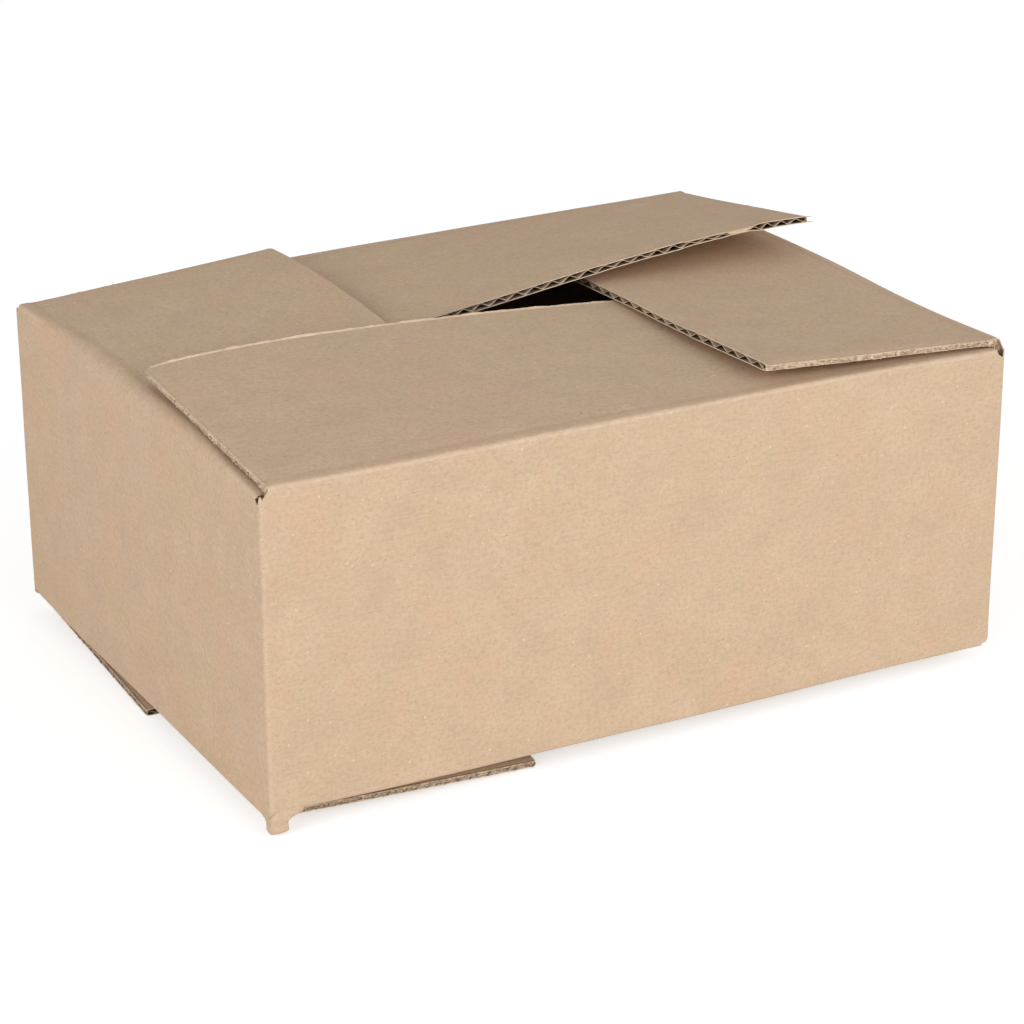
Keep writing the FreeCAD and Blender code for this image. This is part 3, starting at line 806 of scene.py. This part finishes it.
def paper(name):
    """One of the carton's papers, made once and shared by its pieces."""
    if name in bpy.data.materials:
        return bpy.data.materials[name]
    tint = colours()
    # colour, contrast, bump, roughness, flecks, how dark its painted shade is
    kinds = {
        "kraft_liner": (tint.kraft, 0.055, 0.5, 0.82, 1.0, 0.14),
        "inner_liner": (shaded(tint.kraft, 0.92), 0.055, 0.5, 0.86, 0.6, 0.14),
        "cut_fibres": (tint.cut, 0.20, 1.0, 0.92, 0.2, 0.85),
        "fluted_paper": (tint.flute, 0.10, 0.5, 0.9, 0.3, 0.5),
    }
    base, *grain = kinds[name]
    return grain_material(name, tuple(base), *grain)


def papers():
    """Outer liner, inner liner, cut fibres and fluted paper, in the order of a mesh's kinds."""
    return [paper(name) for name in ("kraft_liner", "inner_liner", "cut_fibres", "fluted_paper")]


BACK_LEFT_RISE = 1.5
# Spots that lie in from a cut edge and give the way of the hollow behind it: rows or columns in
FREE_EDGE_ROWS = 6
CUT_END_COLUMNS = 3
UPRIGHT_CUT_ROWS = 8
PLAIN_EDGE = (0.12, 0.14, 0.86, 0.88)
LAST_COLUMNS = (1.2, 2.4)
# Painted highlight growing toward the glued corner
GLUED_CORNER_HIGHLIGHT = 0.25
TAB_COLUMNS = (1.0, 0.75, 0.5, 0.3, 0.15, 0.0)
TAB_SLANT = 8.0
TAB_GAP = 0.05


class CARTON_OT_board(bpy.types.Operator):
    """Bends the sheet into four walls and eight interlocked flaps"""

    bl_idname = "carton.board"
    bl_label = "Folded Board"

    def execute(self, context):
        set_ = sizes()
        walls = make_walls()
        groups = [[wall_column(wall, along) for along in column_places(wall)] for wall in walls]
        middle = len(groups[0][0]) // 2
        wall_rows = range(middle - NOTCH_ROW, middle + NOTCH_ROW + 1)
        ring = []
        upright_folds = []
        for index, wall in enumerate(walls):
            ring += groups[index]
            if index + 1 < len(walls):
                rise = BACK_LEFT_RISE if wall.name == "back" else 0.0
                fold = corner_columns(wall, walls[index + 1], groups[index][-1],
                                      groups[index + 1][0], rise)
                upright_folds += fold
                ring += fold
        ring += self.last_columns(walls[-1], groups[-1][-1], wall_rows)
        tab = self.tab_columns(walls[0], groups[0][TAB_COLUMN], wall_rows)

        spots = []
        number = {}

        def numbered(column, rows):
            """The numbers of a column's spots in the given rows, and None for the others."""
            made = [None] * len(column)
            for row in rows:
                if column[row] is not None:
                    made[row] = number.setdefault(id(column[row]), len(spots))
                    if made[row] == len(spots):
                        spots.append(column[row])
            return made

        all_rows = range(len(groups[0][0]))
        strands = [[numbered(column, all_rows) for column in ring],
                   [numbered(column, wall_rows) for column in tab + [groups[0][TAB_COLUMN]]]]
        # the tab takes the wall's place beyond its fold, so the flaps' ends hang free there
        inner_rows = range(wall_rows[0], wall_rows[-1])
        cells = []
        for kind, strand in enumerate(strands):
            for index, (left, right) in enumerate(zip(strand, strand[1:])):
                for row in range(len(left) - 1):
                    loop = (left[row], right[row], right[row + 1], left[row + 1])
                    beyond_tab = kind == 0 and index < TAB_COLUMN and row in inner_rows
                    if None not in loop and not beyond_tab:
                        cells.append(loop)
        kept = sorted({spot for loop in cells for spot in loop})

        free = {}
        cut = {}
        for group in groups:
            for column in group:
                for end, inward in ((0, FREE_EDGE_ROWS), (-1, -1 - FREE_EDGE_ROWS)):
                    free[number[id(column[end])]] = number[id(column[inward])]
            for end, inward in ((0, CUT_END_COLUMNS), (-1, -1 - CUT_END_COLUMNS)):
                for row, spot in enumerate(group[end]):
                    if row < wall_rows[0] or row > wall_rows[-1]:
                        cut[number[id(spot)]] = number[id(group[inward][row])]
        # the flutes run up and down, so the knife's cuts over the upright folds are open too
        rim = wall_rows[-1]
        for column in upright_folds:
            cut[number[id(column[rim])]] = number[id(column[rim - UPRIGHT_CUT_ROWS])]

        def edge_profile(spot):
            here = spots[spot]
            out = here.out
            deep = Vector((0, 0, 0))
            for source, room in ((free, set_.flute_room), (cut, set_.cut_room)):
                if spot in source:
                    deep += (spots[source[spot]].middle - here.middle).normalized() * room
            if spot not in free and spot not in cut:
                return [here.outer.lerp(here.inner, share) for share in PLAIN_EDGE]
            liner = out * set_.liner
            return [here.outer - liner, here.outer - liner + deep,
                    here.inner + liner + deep, here.inner + liner]

        board = PaperMesh()
        renumber = {old: new for new, old in enumerate(kept)}
        board.skin([spots[k] for k in kept], [tuple(renumber[k] for k in loop) for loop in cells],
                   lambda k: edge_profile(kept[k]))
        board.build("folded_board", papers(), face_outward=False)
        return {"FINISHED"}

    @staticmethod
    def last_columns(wall, last, rows):
        """The right wall goes on flat past its flaps' ends, to the glued corner."""
        slot = sizes().slot
        columns = []
        for beyond in (*LAST_COLUMNS, slot):
            column = [None] * len(last)
            for row in rows:
                spot = last[row]
                shift = wall.along * beyond
                # painted highlight growing toward the corner
                sheet = spot.sheet + Vector((beyond, 0, GLUED_CORNER_HIGHLIGHT * beyond / slot))
                column[row] = Spot(spot.outer + shift, spot.inner + shift, sheet)
            columns.append(column)
        return columns

    @staticmethod
    def tab_columns(back, first, rows):
        """The glued tab behind the right wall, and the fold that it hangs from."""
        set_ = sizes()
        level = set_.sag + set_.wall_height / 2
        fold_corner = back.corner + back.along * (set_.board + TAB_GAP)
        shorter = 1 - 2 * set_.tab_inset / set_.wall_height
        columns = []
        for share in TAB_COLUMNS:
            distance = set_.slot + (set_.tab_width - set_.slot) * share
            tall = 1 + (shorter - 1) * ramp(distance, set_.slot, set_.slot + TAB_SLANT)
            column = [None] * len(first)
            for row in rows:
                height = level + (first[row].outer.z - level) * tall
                outer = fold_corner + back.inward * distance
                outer.z = height
                inner = outer + back.along * set_.board
                column[row] = Spot(outer, inner, Vector((-distance, height - level, 0)))
            columns.append(column)
        crisp = set_.crisp_fold
        turned = Wall("tab", fold_corner, (0, 1, 0), (-1, 0, 0), set_.tab_width, 0.0, crisp, {})
        shifted = Wall("back", fold_corner, back.along, back.inward, back.run, 0.0, crisp, {})
        return columns + corner_columns(turned, shifted, columns[-1], first)


MEDIUM_STEPS = 12
MEDIUM_SPOTS = (-7, -5, -4, -2, -1)
# Painted light on the medium: paleness of the upper side, that the light reaches, then painted
# shade on the lower side back to the depth
MEDIUM_PAINTED_LIGHT = (0.1, 0.3, 0.5, 0.8, 1.0, 1.0, -0.2, -0.5, -0.5, -0.5)
MEDIUM_MARGIN = 1.2
MEDIUM_GAP = 0.03
MEDIUM_LEAST_SWING = 0.02
# How far the medium lies back from the liners' edge, how that wanders, and over what length
MEDIUM_SETBACK = (0.3, 0.2, 2.5)
# How far the flutes drift along the board, in flutes, and over what length
FLUTE_DRIFT = (0.10, 40.0)


class CARTON_OT_medium(bpy.types.Operator):
    """Sets the fluted paper between the liners of every free edge"""

    bl_idname = "carton.medium"
    bl_label = "Fluted Medium"

    def execute(self, context):
        flutes = PaperMesh()
        for wall in make_walls():
            for side in (TOP, BOTTOM):
                self.add_flutes(flutes, wall, side)
        flutes.build("fluted_medium", [paper("fluted_paper")])
        return {"FINISHED"}

    @staticmethod
    def swing(phase):
        """A wave between a sine and a zigzag, as the medium lies."""
        sine = math.sin(2 * math.pi * phase)
        return 0.5 * sine + math.asin(sine) / math.pi

    def add_flutes(self, flutes, wall, side):
        set_ = sizes()
        start = set_.slot + MEDIUM_MARGIN
        end = wall.run - set_.slot - MEDIUM_MARGIN
        count = round((end - start) / set_.flute_pitch * MEDIUM_STEPS)
        half = set_.medium / 2
        drift, drift_size = FLUTE_DRIFT
        setback, ragged, ragged_size = MEDIUM_SETBACK
        rings = []
        sheets = []
        for k in range(count + 1):
            along = start + (end - start) * k / count
            spots = half_column(wall, side, along, last=-MEDIUM_SPOTS[0])
            swing = self.swing(along / set_.flute_pitch
                               + drift * wander(along, drift_size, 5.0 + wall.start))
            back = (spots[-1].outer - spots[-2].outer).normalized() * (
                setback + ragged * wander(along, ragged_size, 1.0))
            upper, lower = [], []
            for index in MEDIUM_SPOTS:
                spot = spots[index]
                thickness = (spot.outer - spot.inner).length
                room = max(thickness / 2 - set_.liner - half - MEDIUM_GAP, MEDIUM_LEAST_SWING)
                centre = spot.outer.lerp(spot.inner, 0.5) + spot.out * swing * room
                if index == -1:
                    centre = centre - spot.out * BURR / 2 - back
                upper.append(centre + spot.out * half)
                lower.append(centre - spot.out * half)
            rings.append(upper + lower[::-1])
            sheets.append([Vector((along, p.z, w)) for p, w in zip(rings[-1], MEDIUM_PAINTED_LIGHT)])
        flutes.add_tube(rings, [PaperMesh.OUTER] * len(rings[0]), sheets)


RIM_WIDTH = 0.8
TEAR_STEP = 0.5
# How open the hollows in a slot-cut end are: 0 is crushed shut, 0.4 mostly open
OPENNESS = {("front", TOP, False): 0.02, ("right", TOP, False): 0.30, ("back", TOP, False): 0.30,
            ("back", BOTTOM, True): 0.35}
USUAL_OPENNESS = 0.15
OPENING_RUN = (4.0, 12.0)
# Painted shade on the bottom flaps' cut ends, which face down
BOTTOM_SHADE = 0.8
# Where the crushed flutes are modelled across a cut end, as shares of the board
ACROSS = (0.15, 0.32, 0.5, 0.68, 0.85)
# Tears of the outer and of the inner liner, each a long and a short wave: reach, size, seed
OUTER_TEARS = ((0.75, 1.2, 0), (0.45, 5.0, 3))
INNER_TEARS = ((0.75, 1.3, 6), (0.50, 6.0, 9))
# How far the outer liner is pressed in at the knife's cut: usual, wandering, size, seed
PRESSED = (0.20, 0.45, 1.4, 12)
HOLLOW_ONSET = (0.34, 0.48)
HOLLOW_DEPTH = 2.1
HOLLOW_SIZES = (2.3, 1.5)
LEAST_ROUGH, MORE_ROUGH = 0.12, 1.3
ROUGH_SCALE = 2.7
# Painted shade in rough pits: where it sets in and where it is full, as roughness, and how strong
ROUGH_SHADE = ((0.30, 0.65), 0.75)
FRAY_SHARE = 0.35
FRAY_SEED = 11


class CARTON_OT_cut_ends(bpy.types.Operator):
    """Roughens the slot-cut ends of the flaps, where the knife crushed the flutes"""

    bl_idname = "carton.cut_ends"
    bl_label = "Cut Ends"

    def execute(self, context):
        rng = random.Random(FRAY_SEED)
        ends = PaperMesh()
        fibres = PaperMesh()
        walls = make_walls()
        for wall in walls:
            for side in (TOP, BOTTOM):
                for far in (False, True):
                    self.add_end(ends, fibres, wall, side, far, rng)
        back, _, front, _ = walls
        self.add_torn_patch(fibres, back)
        self.add_raised_lip(fibres, front)
        self.add_torn_points(fibres, back)
        ends.build("cut_ends", papers())
        fibres.build("torn_fibres", papers())
        return {"FINISHED"}

    def add_end(self, ends, fibres, wall, side, far, rng):
        slot = sizes().slot
        places = (wall.run - slot, wall.run - slot - RIM_WIDTH) if far else (slot, slot + RIM_WIDTH)
        # down the cut end and a little way in from it, from the notch to the free edge
        edge, inside = (half_column(wall, side, along)[NOTCH_ROW:] for along in places)
        openness = OPENNESS.get((wall.name, side, far), USUAL_OPENNESS)
        seed = wall.start * 0.013 + side * 2.0 + (5.0 if far else 0.0)
        travelled = 0.0
        rings = []
        sheets = []
        for i in range(len(edge) - 1):
            span = (edge[i + 1].outer - edge[i].outer).length
            count = max(1, round(span / TEAR_STEP))
            for k in range(count + (i == len(edge) - 2)):
                share = k / count
                here = edge[i].toward(edge[i + 1], share)
                behind = inside[i].toward(inside[i + 1], share)
                at = travelled + span * share
                ring, pit_shade = self.ring(here, behind, at, openness * ramp(at, *OPENING_RUN), seed)
                rings.append(ring)
                # worn pale cut fibres, darkened by painted shade in the hollows and pits
                wear_and_painted_light = [0.7, 0.6] + [0.5 - 1.1 * s for s in pit_shade] + [0.5, 0.4]
                # painted shade on the downward-facing bottom ends
                if side == BOTTOM:
                    wear_and_painted_light = [w - BOTTOM_SHADE for w in wear_and_painted_light]
                across = [Vector((here.sheet.x, here.sheet.y, w)) for w in wear_and_painted_light]
                sheets.append([behind.sheet] + across + [behind.sheet])
                if rng.random() < FRAY_SHARE:
                    self.add_fray(fibres, ring, here, behind, rng)
            travelled += span
        kinds = [PaperMesh.OUTER] + [PaperMesh.CUT] * (len(rings[0]) - 3)
        kinds += [PaperMesh.INNER, PaperMesh.CUT]
        ends.add_tube(rings, kinds, sheets)

    @staticmethod
    def ring(here, behind, at, openness, seed):
        """Points across a cut end: outer liner, crushed flutes with hollows, inner liner, and the
        painted shade in each hollow and pit.
        """
        liner = sizes().liner
        out = here.out
        away = (here.outer - behind.outer).normalized()
        outer_tear, inner_tear = (
            sum(reach * wander(at, size, seed + shift) for reach, size, shift in tears)
            for tears in (OUTER_TEARS, INNER_TEARS))
        usual, wandering, size, shift = PRESSED
        pressed = usual + wandering * wander(at, size, seed + shift)
        first = here.outer - out * pressed + away * outer_tear
        last = here.inner + away * inner_tear
        points = [behind.outer + out * 0.03, first, first - out * liner]
        pit_shade = []
        onset, full = HOLLOW_ONSET
        (shade_onset, shade_full), shade = ROUGH_SHADE
        for share in ACROSS:
            spot = Vector((at / HOLLOW_SIZES[0], share * HOLLOW_SIZES[1], seed))
            hollow = ramp(noise.noise(spot), onset - openness, full - openness)
            bumps = max(noise.noise(spot * ROUGH_SCALE + Vector((9, 2, 4))), 0.0)
            rough = LEAST_ROUGH + MORE_ROUGH * bumps
            depth = rough * (1 - hollow) + HOLLOW_DEPTH * hollow
            pit_shade.append(max(hollow, ramp(rough, shade_onset, shade_full) * shade))
            points.append(here.outer.lerp(here.inner, share) - away * depth + out * (0.1 * rough))
        points += [last + out * liner, last, behind.inner - out * 0.03]
        return points, pit_shade

    @staticmethod
    def add_fray(fibres, ring, here, behind, rng):
        """A torn paper fibre on one of the two liners' edges."""
        away = (here.outer - behind.outer).normalized()
        out = here.out
        down = away.cross(out).normalized()
        root = ring[1] if rng.random() < 0.5 else ring[-2]
        reach = 0.3 + 0.9 * rng.random() ** 2
        way = away + down * rng.uniform(-0.9, 0.9) + out * rng.uniform(-0.5, 0.35)
        side = down * rng.uniform(0.12, 0.30)
        up = out * rng.uniform(0.05, 0.10)
        fibres.add_spike(root - away * 0.2, root + way * reach, side, up, here.sheet)

    @staticmethod
    def add_strip(fibres, wall, start, end, step, wear_and_painted_light, section):
        """Torn paper along a top flap's free edge.

        section(along, spot, away) gives its outline at one place, away from the flap."""
        rings = []
        sheets = []
        for k in range(round((end - start) / step) + 1):
            along = start + step * k
            before, spot = half_column(wall, TOP, along, last=3)[::2]
            away = (spot.outer - before.outer).normalized()
            rings.append(section(along, spot, away))
            sheets.append([Vector((along, p.z, wear_and_painted_light)) for p in rings[-1]])
        fibres.add_tube(rings, [PaperMesh.CUT] * len(rings[0]), sheets)

    def add_torn_patch(self, fibres, wall):
        """Torn liner that hangs over the back flap's squeezed flutes."""
        start, end = 34.5, 47.0

        def section(along, spot, away):
            out = spot.out
            thick = (spot.outer - spot.inner).length
            cover = math.sin(math.pi * (along - start + 0.2) / (end - start + 0.4)) ** 0.5
            hang = max(thick * cover * 0.92 + 0.3 * wander(along, 1.1, 4.0), 0.25)
            bulge = 0.30 + 0.12 * wander(along, 1.7, 8.0)
            lip = spot.outer + away * bulge - out * 0.05
            foot = spot.outer + away * (bulge * 0.8) - out * hang
            root = spot.outer - away * 1.2
            return [root + out * 0.05, lip, foot, foot - away * 0.25,
                    lip - away * 0.3 - out * 0.3, root - out * 0.2]

        self.add_strip(fibres, wall, start, end, 0.5, 0.9, section)

    def add_raised_lip(self, fibres, wall):
        """The front flap's outer liner stands up a little along its free edge, with a painted
        highlight along it.
        """
        start, end = 6.0, 201.0

        def section(along, spot, away):
            out = spot.out
            tall = 0.36 + 0.38 * wander(along, 9.0, 2.0) + 0.26 * wander(along, 1.6, 6.0)
            tall *= ramp(along, start, start + 9.0) * ramp(along, end, end - 12.0)
            tip = spot.outer + out * max(tall, 0.05)
            root = spot.outer - away * 0.6
            return [root + out * 0.03, tip - away * 0.05, tip + away * 0.12,
                    spot.outer + away * 0.1 - out * 0.2, root - out * 0.2]

        self.add_strip(fibres, wall, start, end, 1.0, 1.0, section)

    @staticmethod
    def add_torn_points(fibres, wall):
        """Both liners end in a torn point at the back flap's raised corner."""
        spot = half_column(wall, TOP, sizes().slot + 0.6, last=1)[0]
        away = -wall.along
        across = wall.inward
        up = Vector((0, 0, 1))
        for root, drop, reach in ((spot.outer, -0.55, 3.5), (spot.inner, -0.25, 3.8)):
            tip = root + away * reach + up * drop + across * 0.4
            inner_root = root - away * 1.5 - across * 1.2
            fibres.add_spike(inner_root, tip, across * 1.3, up * 0.22, spot.sheet, PaperMesh.INNER)


# The crumpled corner below the front left fold, from inside the walls down to its tip:
# height above the floor, size along the front, size along the left wall, set-back of its faces
CRUMPLE = [(14.5, 11.0, 12.0, 0.90), (11.0, 14.0, 16.0, 0.16), (9.4, 14.5, 17.0, 0.03),
           (8.2, 13.0, 15.0, 0.0), (7.3, 11.0, 12.0, 0.02), (6.7, 9.0, 9.6, 0.06),
           (6.1, 7.8, 7.6, 0.10), (5.4, 7.2, 6.3, 0.18), (4.6, 7.0, 5.6, 0.20),
           (3.8, 7.0, 5.2, 0.10), (3.0, 7.2, 5.2, 0.02), (2.3, 7.1, 5.0, 0.05),
           (1.8, 6.6, 4.5, 0.25), (1.45, 5.2, 3.4, 0.75), (1.30, 2.6, 1.8, 1.60)]
CRUMPLE_POINTS = 28
SQUARENESS = 0.36
# Dents in it: depth, size, seed; they fade out upward between two heights
CRUMPLE_DENTS = ((0.22, 1.9, 2.0), (0.25, 4.5, 6.0))
CRUMPLE_FADE = (8.0, 5.0)
CRUMPLE_SCUFF = 0.15


class CARTON_OT_crumple(bpy.types.Operator):
    """Hangs the crumpled end of a bottom fold below the front left corner"""

    bl_idname = "carton.crumple"
    bl_label = "Crumpled Corner"

    def execute(self, context):
        front = make_walls()[2]
        nub = PaperMesh()
        rings = []
        sheets = []
        for height, wide, deep, back in CRUMPLE:
            ring = []
            for k in range(CRUMPLE_POINTS):
                angle = 2 * math.pi * k / CRUMPLE_POINTS
                x, y = (math.copysign(abs(c) ** SQUARENESS, c)
                        for c in (math.cos(angle), math.sin(angle)))
                point = Vector((front.corner.x + back + (wide - back) * (x + 1) / 2,
                                front.corner.y + back + (deep - back) * (y + 1) / 2, height))
                dent = sum(depth * ripple(point, size, seed)
                           for depth, size, seed in CRUMPLE_DENTS)
                dent *= ramp(height, *CRUMPLE_FADE)
                swell = board_swell(point)
                ring.append(point + Vector((x, y, 0)) * min(dent, back) - Vector((swell, swell, 0)))
            rings.append(ring)
            sheets.append([Vector((front.start + p.x + p.y, p.z, CRUMPLE_SCUFF)) for p in ring])
        nub.add_tube(rings, [PaperMesh.OUTER] * CRUMPLE_POINTS, sheets)
        nub.build("crumpled_corner", papers())
        return {"FINISHED"}


# Where the camera stands from the front left corner of the carton's floor plan, and its turn
CAMERA_PLACE = (-386.3, -874.4, 503.6)
CAMERA_YAW = 28.84
CAMERA_PITCH = 21.86
CAMERA_ROLL = -0.28
FOCAL_PIXELS = 3113
IMAGE_WIDTH = 1024
SENSOR = 36.0
FAR_VIEW = 50.0
# Place, size and power of each lamp, in metres and watts
LAMPS = {"key_lamp": ((0.9, -2.1, 0.75), 1.6, 27.7),
         "left_lamp": ((-2.2, -1.0, 0.9), 1.6, 28.5)}
AMBIENT = 0.415
FLOOR_GLOW = 0.55
FLOOR_HALF = 6.0
FLOOR_ROUGHNESS = 0.9
WHITE = (1.0, 1.0, 1.0, 1.0)


class CARTON_OT_stage(bpy.types.Operator):
    """Lays the pale floor, hangs the soft lamps and sets up the camera"""

    bl_idname = "carton.stage"
    bl_label = "Stage"

    def execute(self, context):
        self.add_floor()
        for name, (place, size, power) in LAMPS.items():
            self.add_lamp(name, place, size, power)
        self.light_world()
        self.add_camera()
        return {"FINISHED"}

    @staticmethod
    def whites(work):
        """1 for rays from the camera and for rays seen in or through glossy things."""
        path = work.nodes.new("ShaderNodeLightPath")
        total = path.outputs["Is Camera Ray"]
        for name in ("Is Glossy Ray", "Is Transmission Ray"):
            total = work.maths("MAXIMUM", total, path.outputs[name])
        return total

    def add_floor(self):
        half = FLOOR_HALF
        level = CAD_LOW.z
        mesh = bpy.data.meshes.new("floor")
        mesh.from_pydata([(-half, -half, level), (half, -half, level), (half, half, level),
                          (-half, half, level)], [], [(0, 1, 2, 3)])
        material, work = new_material("pale_floor")
        glow = work.maths("MULTIPLY", self.whites(work), FLOOR_GLOW)
        work.fill(work.nodes["Principled BSDF"], {
            "Base Color": (*colours().floor, 1.0), "Roughness": FLOOR_ROUGHNESS,
            "Emission Color": WHITE, "Emission Strength": glow})
        mesh.materials.append(material)
        add_object("floor", mesh)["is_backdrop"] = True

    @staticmethod
    def add_lamp(name, place, size, power):
        data = bpy.data.lights.new(name, "AREA")
        data.shape = "SQUARE"
        data.size = size
        data.energy = power
        lamp = add_object(name, data)
        lamp.location = place
        aim = Vector((0, 0, CAD_HIGH.z / 2)) - lamp.location
        lamp.rotation_euler = aim.to_track_quat("-Z", "Y").to_euler()

    def light_world(self):
        world = bpy.data.worlds.new("studio")
        bpy.context.scene.world = world
        world.use_nodes = True
        work = NodeWork(world.node_tree)
        strength = work.banded(self.whites(work), 0.0, 1.0, AMBIENT, 1.0)
        work.fill(work.nodes["Background"], {"Color": WHITE, "Strength": strength})

    @staticmethod
    def add_camera():
        yaw, pitch, roll = map(math.radians, (CAMERA_YAW, CAMERA_PITCH, CAMERA_ROLL))
        data = bpy.data.cameras.new("camera")
        data.sensor_width = SENSOR
        data.lens = FOCAL_PIXELS / IMAGE_WIDTH * SENSOR
        data.clip_end = FAR_VIEW
        camera = add_object("camera", data)
        forward = Vector((math.sin(yaw) * math.cos(pitch), math.cos(yaw) * math.cos(pitch),
                          -math.sin(pitch)))
        level = Vector((math.cos(yaw), -math.sin(yaw), 0))
        upward = level.cross(forward)
        right = level * math.cos(roll) + upward * math.sin(roll)
        up = upward * math.cos(roll) - level * math.sin(roll)
        camera.rotation_mode = "QUATERNION"
        turned = Matrix((right, up, -forward)).transposed()
        camera.rotation_quaternion = turned.to_quaternion()
        camera.location = (Vector(CAMERA_PLACE) - Vector((LENGTH / 2, WIDTH / 2, 0))) * MM
        bpy.context.scene.camera = camera


class CARTON_PT_panel(bpy.types.Panel):
    """Lists the carton's steps, sizes and colours"""

    bl_idname = "CARTON_PT_panel"
    bl_label = "Carton"
    bl_space_type = "VIEW_3D"
    bl_region_type = "UI"
    bl_category = "Carton"

    def draw(self, context):
        layout = self.layout
        for operator in OPERATORS:
            layout.operator(operator.bl_idname)
        for group in (context.scene.carton_sizes, context.scene.carton_colours):
            box = layout.box()
            for name in group.__annotations__:
                box.prop(group, name)


OPERATORS = (CARTON_OT_board, CARTON_OT_medium, CARTON_OT_cut_ends, CARTON_OT_crumple,
             CARTON_OT_stage)
CLASSES = (CartonSizes, CartonColours, *OPERATORS, CARTON_PT_panel)


def register():
    for cls in CLASSES:
        bpy.utils.register_class(cls)
    bpy.types.Scene.carton_sizes = bpy.props.PointerProperty(type=CartonSizes)
    bpy.types.Scene.carton_colours = bpy.props.PointerProperty(type=CartonColours)


def unregister():
    del bpy.types.Scene.carton_sizes
    del bpy.types.Scene.carton_colours
    for cls in reversed(CLASSES):
        bpy.utils.unregister_class(cls)


def main():
    register()
    bpy.context.scene.view_settings.view_transform = "Standard"
    bpy.ops.carton.board()
    bpy.ops.carton.medium()
    bpy.ops.carton.cut_ends()
    bpy.ops.carton.crumple()
    bpy.ops.carton.stage()
    corners = {"cad": CAD_BOUNDS, "visual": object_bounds()}
    {name: [list(c) for c in pair] for name, pair in corners.items()}


if __name__ == "__main__":
    main()
